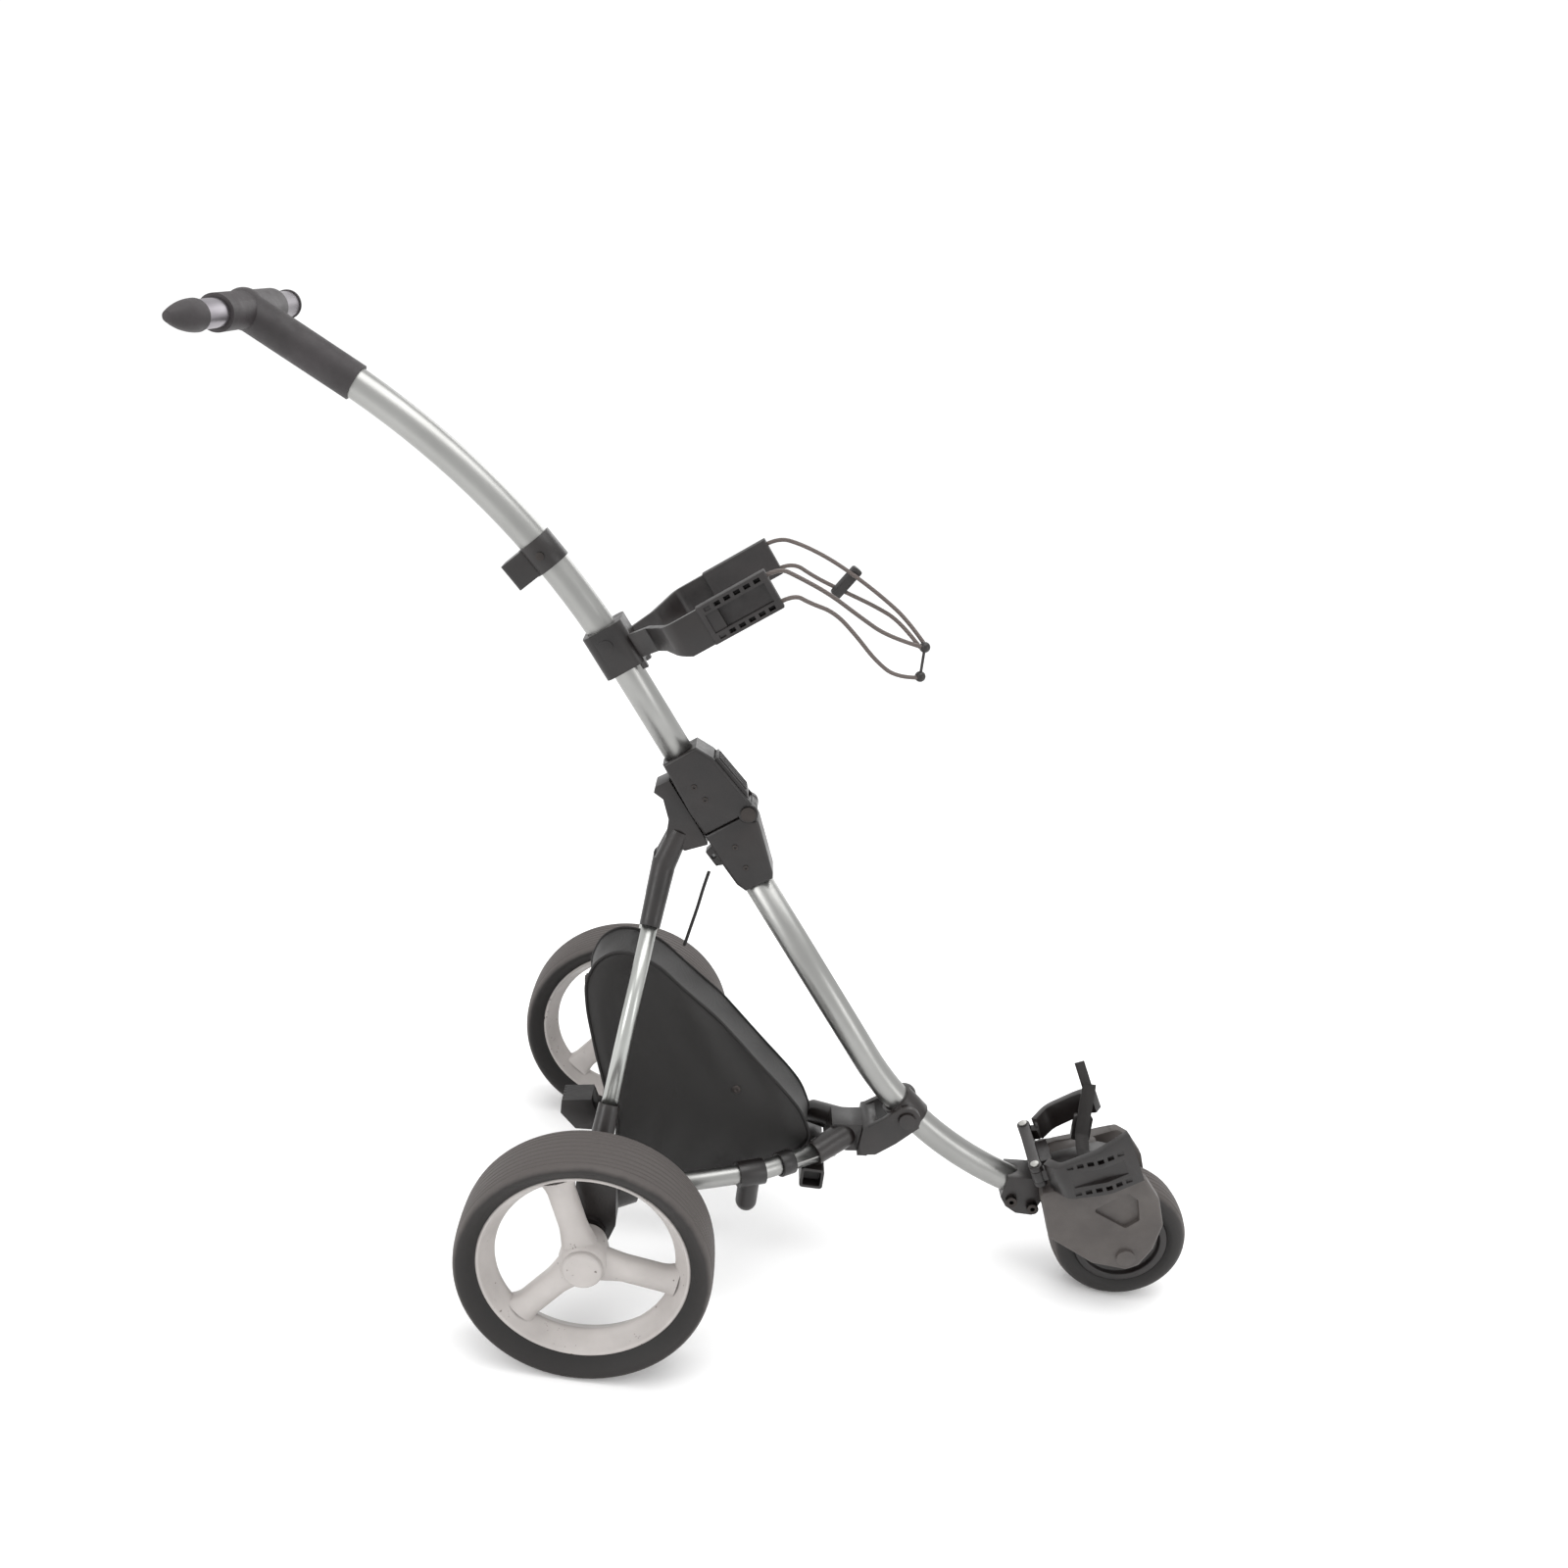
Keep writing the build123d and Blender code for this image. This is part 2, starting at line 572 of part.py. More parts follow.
# side outline of each arm, along the plate plane and up from it
arm_side = {"left": [(0, -14), (30, -8), (60, 4), (96, 18), (96, 46), (62, 36), (30, 24), (0, 14)],
            "right": [(0, -14), (24, -24), (60, -27), (118, -27), (118, 40), (80, 32), (24, 20), (0, 14)]}
lower_arms = []
for name, side in sides:
    ky = -side * knuckle_y
    pivot = base_plane.from_local_coords(Vector(0, ky, 0))
    reach = arm_reach[name]
    side_plane = Plane(origin=base_plane.from_local_coords(Vector(0, 0, 0)),
                       x_dir=base_plane.x_dir, z_dir=(0, -1, 0))
    with BuildPart() as outline:
        with BuildSketch(side_plane):
            with BuildLine():
                Polyline(*arm_side[name], close=True)
            make_face()
        extrude(amount=120, both=True)
    with BuildPart() as arm:
        with BuildSketch(base_plane):
            with BuildLine():
                FilletPolyline((14, -side * 46), (26, -side * 66), (74, -side * 72),
                               (reach, -side * 64), radius=16)
            trace(line_width=10)
        extrude(amount=60, both=True)
        add(outline, mode=Mode.INTERSECT)
        # recess and windows on the outside of the arm
        if name == "right":
            face = Plane(origin=base_plane.from_local_coords(Vector(68, -side * 77, 0)),
                         x_dir=base_plane.x_dir, z_dir=(0, side, 0))
            with BuildSketch(face):
                Rectangle(64, 20)
            extrude(amount=-6, mode=Mode.SUBTRACT)
            with BuildSketch(face):
                for row in (-19, 19):
                    with Locations((0, row)):
                        with GridLocations(12, 1, 6, 1):
                            Rectangle(7.5, 6)
            extrude(amount=-6.5, mode=Mode.SUBTRACT)
        # knuckle between the plate ears
        with BuildSketch(base_plane):
            with Locations((0, ky)):
                Circle(8)
            with BuildLine():
                Polyline((2, ky - 6 * side), (2, ky + 4 * side), (17, ky + 4 * side),
                         (19, ky - 8 * side), close=True)
            make_face()
            with Locations((0, ky)):
                Circle(hinge_r + bore_fit, mode=Mode.SUBTRACT)
        extrude(amount=7, both=True)
    turned = arm.part.rotate(Axis(pivot, base_plane.z_dir), side * arm_turn[name])
    with BuildPart() as lower_arm:
        add(turned)
    lower_arms.append(lower_arm.part)
    save(lower_arm, "lower_arm_" + name)

    # room for the whole swing in the fork cover below the arm
    with BuildPart() as swing:
        for turn in range(int(arm_out), int(arm_in) + 1, 4):
            with BuildPart(mode=Mode.PRIVATE) as slot:
                with BuildSketch(base_plane):
                    with BuildLine():
                        FilletPolyline((6, -side * 46), (26, -side * 66), (74, -side * 72),
                                       (reach + 3, -side * 64), radius=16)
                    trace(line_width=14)
                extrude(amount=34, both=True)
                with BuildSketch(side_plane):
                    with BuildLine():
                        Polyline((0, -15.5), (24, -25.5), (60, -28.5), (140, -28.5), (140, 60), (0, 60),
                                 close=True)
                    make_face()
                extrude(amount=120, both=True, mode=Mode.INTERSECT)
            add(slot.part.rotate(Axis(pivot, base_plane.z_dir), side * turn))
    covers[name] = covers[name] - swing.part
    core_solid = core_solid - swing.part

for name, side in sides:
    with BuildPart() as cover:
        add(covers[name] - lower_cradle.part)
    save(cover, "fork_cover_" + name)
with BuildPart() as fork_core:
    add(core_solid.solids().sort_by(SortBy.VOLUME)[-1])
save(fork_core, "fork_core")

# ---------------------------------------------------------------- undercarriage
strut_top = (axle_x + 30.5, 15.0, 495.0)
strut_foot = (axle_x - 4.0, 182.0, 190.0)


def along(a, b, t):
    return tuple(p + (q - p) * t for p, q in zip(a, b))


def mirror_y(p, side):
    return (p[0], side * p[1], p[2])


foot_t = 0.76
sock_t = 0.16

mouth = (axle_x + 250.0, 45.0, 165.0)
elbow = (axle_x + 185.0, 88.0, 160.5)
tail = (axle_x + 12.0, 152.0, 152.0)
pivot_r = 5.0
ear_in = 21.6
ear_out = 29.0
with BuildPart() as pivot_collar:
    with BuildSketch(Plane(origin=(collar_x, 0, collar_z), x_dir=(0, 1, 0), z_dir=(0.748, 0, -0.664))):
        Circle(21.0)
    extrude(amount=17, both=True)
    add(lower_core, mode=Mode.SUBTRACT)
save(pivot_collar, "pivot_collar")

with BuildPart() as pivot_pin:
    for side in (1, -1):
        with BuildSketch(Plane(origin=(collar_x, side * 17.5, collar_z), z_dir=(0, side, 0))):
            Circle(pivot_r)
        extrude(amount=ear_out - 17.5 + face_gap)
        with BuildSketch(Plane(origin=(collar_x, side * (ear_out + face_gap), collar_z), z_dir=(0, side, 0))):
            Circle(10)
        extrude(amount=3)
    add(pivot_collar.part, mode=Mode.SUBTRACT)
save(pivot_pin, "pivot_pins")

stem_top = [(346, 232), (328, 212), (312, 200)]
stem_low = [(308, 160), (326, 163), (348, 182), (372, 208)]
stem_half = 19.0
with BuildPart() as wishbone:
    # two cheeks beside the tube
    for side in (1, -1):
        with BuildSketch(Plane.XZ.offset(-side * ear_in)):
            with BuildLine():
                Polyline(*[(axle_x + x, z) for x, z in stem_top + stem_low], close=True)
            make_face()
            with Locations((collar_x, collar_z)):
                Circle(16)
        extrude(amount=-side * (ear_out - ear_in))
    # bridge that joins the cheeks behind the tube
    with BuildSketch(Plane.XZ):
        with BuildLine():
            Polyline(*[(axle_x + x, z) for x, z in
                       [(318, 198), (292, 194), (270, 192), (264, 162), (292, 157), (314, 160)]], close=True)
        make_face()
    extrude(amount=stem_half, both=True)
    with BuildSketch(Plane.XZ):
        with BuildLine():
            Polyline(*[(axle_x + x, z) for x, z in [(322, 204), (306, 197), (304, 159), (316, 160)]],
                     close=True)
        make_face()
    extrude(amount=ear_out, both=True)
    for side in (1, -1):
        a = (axle_x + 284.0, side * 16.0, 176.0)
        b = (mouth[0], side * mouth[1], mouth[2])
        add(rod(a, b, 16, 14.5))
        with Locations(a):
            Sphere(16.0)
    with BuildSketch(Plane.XZ):
        with Locations((collar_x, collar_z)):
            Circle(pivot_r + bore_fit)
    extrude(amount=40, both=True, mode=Mode.SUBTRACT)
    for side in (1, -1):
        a = (axle_x + 272.0, side * 30.4, 166.7)
        add(rod((mouth[0], side * mouth[1], mouth[2]), a, side_d / 2), mode=Mode.SUBTRACT)
    add(swept(lower_route, tube_r + 2.0, 0), mode=Mode.SUBTRACT)
    with BuildSketch(Plane(origin=(collar_x, 0, collar_z), x_dir=(0, 1, 0), z_dir=(0.748, 0, -0.664))):
        Circle(21.4)
    extrude(amount=40, both=True, mode=Mode.SUBTRACT)
save(wishbone, "wishbone")

collars = []
feet = []
carriers = {}
for name, side in sides:
    with BuildLine() as run:
        FilletPolyline((axle_x + 272.0, side * 30.4, 166.7), (elbow[0], side * elbow[1], elbow[2]),
                       (tail[0], side * tail[1], tail[2]), radius=150)
    side_core = swept(run, side_d / 2, 0)
    with BuildPart() as side_tube:
        add(swept(run, side_d / 2, side_d / 2 - 1.6))
        add(wishbone.part, mode=Mode.SUBTRACT)
    save(side_tube, "side_tube_" + name)

    p = run.line @ 0.235
    with BuildPart() as tube_collar:
        with BuildSketch(Plane(origin=p, z_dir=run.line % 0.235)):
            Circle(side_d / 2 + 3.5)
        extrude(amount=9, both=True)
        add(side_core, mode=Mode.SUBTRACT)
    collars.append(tube_collar.part)

    # T clamp with a rounded rest foot below
    with BuildPart() as rest_foot:
        p = run.line @ 0.40
        with BuildSketch(Plane(origin=p, z_dir=run.line % 0.40)):
            Circle(side_d / 2 + 4)
        extrude(amount=16, both=True)
        add(rod((p.X, p.Y, p.Z), (p.X, p.Y, 122), 12.5))
        with Locations((p.X, p.Y, 122)):
            Sphere(12.5)
        add(side_core, mode=Mode.SUBTRACT)
    feet.append(rest_foot.part)

    # wheel carrier
    with BuildPart() as carrier:
        with BuildSketch(Plane.XZ.offset(-side * 160)):
            with BuildLine():
                Polyline((axle_x - 20, 206), (axle_x + 24, 206), (axle_x + 28, 150), (axle_x + 18, 118),
                         (axle_x - 16, 118), (axle_x - 20, 150), close=True)
            make_face()
            fillet(vertices(), radius=8)
        extrude(amount=-side * 44)
        add(rod((axle_x, side * 160, rear_r), (axle_x, side * 208.5, rear_r), 18))
        add(rod((axle_x + 40, side * 141.6, 153.4), (axle_x + 8, side * 163, 151.8), 15))
        # boot that takes the lower end of the strut
        add(rod(mirror_y(along(strut_top, strut_foot, foot_t), side), mirror_y(strut_foot, side), 12, 14))
        add(rod(mirror_y(along(strut_top, strut_foot, foot_t - 0.05), side),
                mirror_y(along(strut_top, strut_foot, foot_t + 0.1), side), strut_d / 2),
            mode=Mode.SUBTRACT)
        add(side_core, mode=Mode.SUBTRACT)
    save(carrier, "wheel_carrier_" + name)
    carriers[name] = carrier.part

with BuildPart() as tube_collars:
    add(collars)
save(tube_collars, "tube_collars")

with BuildPart() as rest_feet:
    add(feet)
save(rest_feet, "rest_feet")

with BuildPart() as axle_beam:
    add(rod((axle_x - 4, -160, 150), (axle_x - 4, 160, 150), 10))
    add(rod((axle_x - 4, -160, 150), (axle_x - 4, 160, 150), 8), mode=Mode.SUBTRACT)
    for carrier_part in carriers.values():
        add(carrier_part, mode=Mode.SUBTRACT)
    # ribbed grip moulded round the middle of the beam
    with BuildSketch(Plane.XZ):
        with BuildLine():
            Polyline(*[(axle_x + x, z) for x, z in
                       [(-14, 140), (-40, 138), (-60, 158), (-60, 176), (-24, 182), (-14, 160)]], close=True)
        make_face()
    extrude(amount=17, both=True)
    with BuildSketch(Plane(origin=(axle_x - 4, 0, 150), z_dir=(0, 1, 0))):
        Circle(13)
        Circle(10, mode=Mode.SUBTRACT)
    extrude(amount=17, both=True)
    with BuildSketch(Plane(origin=(axle_x - 60, 0, 166), x_dir=(0, 1, 0), z_dir=(-1, 0, 0))):
        with GridLocations(6, 1, 5, 1):
            Rectangle(2, 60)
    extrude(amount=-3, mode=Mode.SUBTRACT)
save(axle_beam, "axle_beam")

axle_r = 6.0
with BuildPart() as wheel_axles:
    for side in (1, -1):
        add(rod((axle_x, side * 208.5, rear_r), (axle_x, side * (yw + 22), rear_r), axle_r))
save(wheel_axles, "wheel_axles")

# struts from the wheel carriers up to the catch behind the main hinge
with BuildPart() as catch_yoke:
    with BuildSketch(hinge_plane):
        with BuildLine():
            Polyline((14, -22.6), (13, -40), (18, -45), (30, -40), (54, -47), (76, -64), (96, -50),
                     (102, -24), (90, -22.6), (60, -22.6), close=True)
        make_face()
    extrude(amount=16, both=True)
    for side in (1, -1):
        add(rod(mirror_y(along(strut_top, strut_foot, -0.04), side),
                mirror_y(along(strut_top, strut_foot, sock_t + 0.02), side), 14, 12))
        add(rod(mirror_y(along(strut_top, strut_foot, sock_t - 0.08), side),
                mirror_y(along(strut_top, strut_foot, sock_t + 0.1), side), strut_d / 2),
            mode=Mode.SUBTRACT)
        # neck between each leg socket and the yoke body
        neck = mirror_y(along(strut_top, strut_foot, -0.02), side)
        add(rod(on_tube(74, -44, side * 7), neck, 12, 13.6))
        with Locations(neck):
            Sphere(13.6)
        add(rod(mirror_y(along(strut_top, strut_foot, sock_t - 0.08), side),
                mirror_y(along(strut_top, strut_foot, sock_t + 0.1), side), strut_d / 2),
            mode=Mode.SUBTRACT)
    with BuildSketch(hinge_plane):
        with BuildLine():
            Polyline((-10, -22.6), (-10, 30), (130, 30), (130, -22.6), close=True)
        make_face()
    extrude(amount=40, both=True, mode=Mode.SUBTRACT)
save(catch_yoke, "catch_yoke")

for name, side in sides:
    top = mirror_y(along(strut_top, strut_foot, sock_t - 0.08), side)
    low = mirror_y(along(strut_top, strut_foot, foot_t + 0.1), side)
    with BuildPart() as strut:
        add(rod(top, low, strut_d / 2))
        add(rod(top, low, strut_d / 2 - 1.5), mode=Mode.SUBTRACT)
    save(strut, "strut_" + name)

# square cross socket under the wishbone
with BuildPart() as cross_socket:
    with BuildSketch(Plane.XZ):
        with Locations((axle_x + 252, 134)):
            RectangleRounded(28, 27, 4)
    extrude(amount=52, both=True)
    for side in (1, -1):
        with BuildSketch(Plane.XZ.offset(side * 52)):
            with Locations((axle_x + 252, 134)):
                RectangleRounded(21, 20, 2)
        extrude(amount=-side * 14, mode=Mode.SUBTRACT)
    add(wishbone.part, mode=Mode.SUBTRACT)
save(cross_socket, "cross_socket")

# ---------------------------------------------------------------- rear wheels
tyre_h = tyre_w / 2
rim_h = rim_w / 2
throat_r = 97.5          # narrowest inside of the barrel
tyre_pts = [(rim_r, rim_h), (121, 27), (128, 34), (132.5, tyre_h), (136.5, 31), (139, 22), (rear_r, 9)]
for name, side in sides:
    yc = side * yw
    centre = (axle_x, yc, rear_r)
    spin = Axis(centre, (0, 1, 0))
    disc = Plane(origin=centre, x_dir=(1, 0, 0), z_dir=(0, 0, 1))
    wheel_face = Plane(origin=centre, x_dir=(1, 0, 0), z_dir=(0, -1, 0))

    with BuildPart() as tyre:
        with BuildSketch(disc):
            with BuildLine():
                Polyline(*([(r, -h) for r, h in tyre_pts] + [(r, h) for r, h in reversed(tyre_pts)]),
                         close=True)
            make_face()
            with Locations(*[(rear_r - 0.6, y) for y in (-6, 0, 6)]):
                Rectangle(3.0, 1.4, mode=Mode.SUBTRACT)
            with Locations(*[(139.2, y) for y in (-13, 13, -19, 19)]):
                Rectangle(3.0, 1.4, mode=Mode.SUBTRACT)
        revolve(axis=spin)
    save(tyre, "rear_tyre_" + name)

    with BuildPart() as rim:
        with BuildSketch(disc):
            # barrel
            with BuildLine():
                Polyline((rim_r, -rim_h), (rim_r, rim_h), (112, rim_h), (103, 8), (throat_r, 0), (103, -8),
                         (112, -rim_h), close=True)
            make_face()
            # hub
            with BuildLine():
                Polyline(*[(r, side * h) for r, h in
                           [(axle_r + bore_fit, -30), (20, -30), (26, -8), (27, 14), (24, 20),
                            (axle_r + bore_fit, 20)]], close=True)
            make_face()
        revolve(axis=spin)
        # three broad spokes
        for k in range(3):
            spoke_dir = Vector(1, 0, 0).rotate(Axis.Y, -(111 + 120 * k))
            with BuildSketch(Plane(origin=centre, x_dir=spoke_dir, z_dir=(0, -1, 0))):
                with BuildLine():
                    Polyline((10, -19), (34, -16), (60, -13.4), (88, -14), (102, -19), (102, 19),
                             (88, 14), (60, 13.4), (34, 16), (10, 19), close=True)
                make_face()
            extrude(amount=9.5, both=True)
        with BuildSketch(disc):
            with Locations((axle_r / 2 + bore_fit / 2, 0)):
                Rectangle(axle_r + bore_fit, 100)
        revolve(axis=spin, mode=Mode.SUBTRACT)
    save(rim, "rear_rim_" + name)

    with BuildPart() as cap:
        base = Plane(origin=(axle_x, yc + side * 20, rear_r), z_dir=(0, side, 0))
        with BuildSketch(base):
            Circle(22)
        extrude(amount=7)
        fillet(cap.faces().sort_by(Axis.Y)[-1 if side > 0 else 0].edges(), radius=4)
        with BuildSketch(base):
            Circle(axle_r + 2)
        extrude(amount=3.5, mode=Mode.SUBTRACT)
    save(cap, "hub_cap_" + name)

# ---------------------------------------------------------------- soft pouch
pouch_side = [(20, 88), (120, 98), (190, 126), (228, 150), (247, 176), (230, 212), (212, 232),
              (170, 272), (119, 322), (64, 364), (40, 384), (10, 396), (-14, 396), (-34, 380),
              (-44, 350), (-38, 312), (-22, 254), (-6, 205), (12, 170), (13, 130), (12, 100)]
with BuildPart() as pouch:
    with BuildSketch(Plane.XZ):
        with BuildLine():
            Polyline(*[(axle_x + x, z) for x, z in pouch_side], close=True)
        make_face()
    extrude(amount=34, both=True)
    fillet(pouch.edges().filter_by(Axis.Y), radius=5)
    add(wishbone.part, mode=Mode.SUBTRACT)
save(pouch, "pouch")

# ---------------------------------------------------------------- cords and straps
def corner_radii(points):
    """Arc radius for each bend: as large as the shorter of its two runs allows."""
    radii = []
    for a, b, c in zip(points, points[1:], points[2:]):
        u = Vector(*b) - Vector(*a)
        v = Vector(*c) - Vector(*b)
        half = radians(u.get_angle(v)) / 2
        radii.append(0.45 * min(u.length, v.length) / tan(half))
    return radii


def cord(points, dia):
    """Round cord along straight runs joined by tangent arcs."""
    radii = corner_radii(points)
    with BuildLine() as way:
        FilletPolyline(*points, radius=radii)
    print("cord radii", [round(r, 1) for r in radii])
    return swept(way, dia / 2, 0)


def from_axle(points):
    return [(axle_x + x, y, z) for x, y, z in points]


hook_hi = (284, 0, 789)
hook_lo = (284, -3, 757)
bungee_routes = {
    "bungee_left_top": [(141, 66, 871), (173, 56, 861), (205, 46, 846), (236, 35, 829),
                        (264, 22, 811), (283, 5.5, 792)],
    "bungee_left_low": [(160, 69, 836), (196, 55, 826), (228, 41, 818), (257, 24, 808),
                        (279.5, 2.5, 787.5)],
    "bungee_right_top": [(134, -66, 864), (171, -50, 846), (206, -37, 823), (241, -22, 801),
                         (279, -3.5, 790)],
    "bungee_right_low": [(151, -67, 838), (179, -53, 828), (205, -43, 804), (230, -33, 777),
                         (256, -22, 758), (281, -5, 756)],
}
bungees = []
for name, points in bungee_routes.items():
    side = 1 if "left" in name else -1
    row = 1 if "low" in name else -1
    hole = cradle_plane.from_local_coords(
        Vector(pad_to, -side * (pad_in + pad_out) / 2, pad_drop + row * cord_row))
    out = hole + cradle_plane.x_dir * 14
    start = hole - cradle_plane.x_dir * 6
    way = [tuple(start), tuple(out)] + from_axle(points)
    with BuildPart() as bungee:
        add(cord(way, cord_d))
    save(bungee, name)
    bungees.append(bungee.part)

# the two cord hooks, the link between them and the flat tag that ties the left pair
with BuildPart() as bungee_fittings:
    hi = (axle_x + hook_hi[0], hook_hi[1], hook_hi[2])
    lo = (axle_x + hook_lo[0], hook_lo[1], hook_lo[2])
    with Locations(hi, lo):
        Sphere(6.0)
    add(rod(hi, lo, 1.6))
    tag_a = (axle_x + 203, 46.6, 847)
    tag_b = (axle_x + 186, 58.3, 829)
    tag_mid = ((tag_a[0] + tag_b[0]) / 2, (tag_a[1] + tag_b[1]) / 2, (tag_a[2] + tag_b[2]) / 2)
    tag_dir = Vector(*tag_b) - Vector(*tag_a)
    with BuildSketch(Plane(origin=tag_mid, x_dir=tag_dir, z_dir=(-0.3, 1, 0.2))):
        RectangleRounded(tag_dir.length + 12, 12, 3)
    extrude(amount=3.4, both=True)
    add(bungees, mode=Mode.SUBTRACT)
save(bungee_fittings, "bungee_fittings")

strap_route = from_axle([(84, 0, 496), (80, 1.5, 476), (76, -1, 450), (71, 1, 424), (66, 0, 398)])
with BuildPart() as pouch_strap:
    add(cord(strap_route, 4.0))
    add(pouch.part, mode=Mode.SUBTRACT)
save(pouch_strap, "pouch_strap")

# webbing strap between the two lower arms, with the ladder buckle it runs through
web_x = axle_x + 574.0
web_w = 16.0
web_t = 1.6
web_route = [(-56, 206), (-34, 196), (-12, 196), (4, 206), (12, 232), (17, 258), (20, 268)]
with BuildPart() as lower_strap:
    with BuildSketch(Plane.YZ.offset(web_x - web_w / 2)):
        with BuildLine():
            FilletPolyline(*web_route, radius=6)
        trace(line_width=web_t)
    extrude(amount=web_w)
    # loose tail leaning back over the left arm
    with BuildSketch(Plane(origin=(web_x - 3, 20, 266), x_dir=(0.85, 0, 0.42), z_dir=(0.42, 0, -0.85))):
        Rectangle(12, web_t)
    extrude(amount=-34)
    add(lower_arms, mode=Mode.SUBTRACT)
save(lower_strap, "lower_strap")

with BuildPart() as lower_buckle:
    with BuildSketch(Plane(origin=(web_x, 11.5, 212), x_dir=(1, 0, 0), z_dir=(0, -1, 0.14))):
        RectangleRounded(22, 32, 3)
    extrude(amount=4, both=True)
    with BuildSketch(Plane.YZ.offset(web_x - web_w / 2 - 0.5)):
        with BuildLine():
            FilletPolyline(*web_route, radius=6)
        trace(line_width=web_t + 0.6)
    extrude(amount=web_w + 1, mode=Mode.SUBTRACT)
    add(lower_arms, mode=Mode.SUBTRACT)
save(lower_buckle, "lower_buckle")
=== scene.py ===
import math

import bpy
import numpy as np
from mathutils import Matrix, Vector


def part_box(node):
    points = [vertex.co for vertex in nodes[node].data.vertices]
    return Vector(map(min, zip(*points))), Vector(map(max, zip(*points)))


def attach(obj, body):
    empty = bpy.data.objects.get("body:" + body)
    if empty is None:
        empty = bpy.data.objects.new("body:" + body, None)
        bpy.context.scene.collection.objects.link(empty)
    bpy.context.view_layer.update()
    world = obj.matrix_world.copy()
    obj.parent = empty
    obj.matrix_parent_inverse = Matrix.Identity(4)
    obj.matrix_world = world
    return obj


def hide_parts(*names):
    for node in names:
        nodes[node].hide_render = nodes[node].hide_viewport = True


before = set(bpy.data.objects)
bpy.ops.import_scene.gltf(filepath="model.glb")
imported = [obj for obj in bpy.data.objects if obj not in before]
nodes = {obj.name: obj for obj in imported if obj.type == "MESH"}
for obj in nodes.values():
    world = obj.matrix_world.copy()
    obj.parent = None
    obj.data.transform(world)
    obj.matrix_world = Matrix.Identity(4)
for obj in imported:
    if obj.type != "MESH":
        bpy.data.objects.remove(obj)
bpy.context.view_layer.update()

# ---------------------------------------------------------------- camera
# A catalogue view from a little above the trolley's right side, with the camera rolled
# slightly. Angles are in radians, distances in metres.
yaw, pitch, roll = 0.022, 0.361, 0.113
focal_share = 1445.46 / 1600     # focal length as a share of the picture's width
eye = (-0.05335, -1.48781, 1.17110)
ahead = Vector((-math.sin(yaw) * math.cos(pitch), math.cos(yaw) * math.cos(pitch), -math.sin(pitch)))
level = Vector((math.cos(yaw), math.sin(yaw), 0.0))
upward = level.cross(ahead)
right = level * math.cos(roll) + upward * math.sin(roll)
up = upward * math.cos(roll) - level * math.sin(roll)
lens = bpy.data.cameras.new("camera")
lens.sensor_width = 36.0
lens.lens = focal_share * lens.sensor_width
lens.shift_x = 0.0682
lens.shift_y = -0.0058
lens.clip_start = 0.05
camera = bpy.data.objects.new("camera", lens)
bpy.context.scene.collection.objects.link(camera)
turn = Matrix((right, up, -ahead)).transposed().to_4x4()
camera.matrix_world = Matrix.Translation(eye) @ turn
bpy.context.scene.camera = camera

# ---------------------------------------------------------------- studio
# A wide pale floor with soft light from above, a large softbox on the camera's left and a
# weaker one on its right, as in a catalogue studio.
world = bpy.data.worlds.new("studio")
world.use_nodes = True
world.node_tree.nodes["Background"].inputs["Color"].default_value = (1, 1, 1, 1)
world.node_tree.nodes["Background"].inputs["Strength"].default_value = 1.08
bpy.context.scene.world = world
bpy.context.scene.view_settings.view_transform = "Standard"
bpy.context.scene.view_settings.look = "None"


def area_light(name, place, target, size, power):
    data = bpy.data.lights.new(name, "AREA")
    data.shape = "RECTANGLE"
    data.size, data.size_y = size
    data.energy = power
    lamp = bpy.data.objects.new(name, data)
    lamp.location = place
    lamp.rotation_euler = (Vector(target) - Vector(place)).to_track_quat("-Z", "Y").to_euler()
    bpy.context.scene.collection.objects.link(lamp)


area_light("top_softbox", (0.2, -0.3, 2.9), (0.0, 0.0, 0.4), (2.4, 1.6), 34)
area_light("left_softbox", (-2.3, -1.7, 1.5), (0.0, 0.0, 0.5), (1.2, 1.8), 26)
area_light("right_softbox", (2.4, -1.6, 1.2), (0.1, 0.0, 0.4), (0.8, 1.6), 12)
area_light("back_softbox", (0.6, 2.4, 1.8), (0.0, 0.0, 0.5), (1.6, 1.4), 14)


# ---------------------------------------------------------------- materials
def linear(code):
    """Linear colour from a six-digit sRGB hex code."""
    out = []
    for k in (0, 2, 4):
        c = int(code[k:k + 2], 16) / 255
        out.append(c / 12.92 if c <= 0.04045 else ((c + 0.055) / 1.055) ** 2.4)
    return (*out, 1.0)


def add_node(tree, kind, links=(), **values):
    """New node; values set its sockets or properties, links are (socket, from node, from socket)."""
    n = tree.nodes.new(kind)
    for key, v in values.items():
        if hasattr(n, key):
            setattr(n, key, v)
        else:
            n.inputs[key.replace("_", " ")].default_value = v
    for socket, source, out in links:
        tree.links.new(source.outputs[out], n.inputs[socket])
    return n


def ramp(tree, source, out, stops):
    """Colour ramp; each stop is (position, hex code or grey level)."""
    n = add_node(tree, "ShaderNodeValToRGB", [("Fac", source, out)])
    while len(n.color_ramp.elements) < len(stops):
        n.color_ramp.elements.new(0.5)
    for e, (p, c) in zip(n.color_ramp.elements, stops):
        e.position = p
        e.color = linear(c) if isinstance(c, str) else (c, c, c, 1)
    return n


def new_material(name, **shader):
    m = bpy.data.materials.new(name)
    m.use_nodes = True
    tree = m.node_tree
    bsdf = tree.nodes["Principled BSDF"]
    for key, v in shader.items():
        bsdf.inputs[key.replace("_", " ")].default_value = v
    coord = add_node(tree, "ShaderNodeTexCoord")
    return m, tree, bsdf, coord


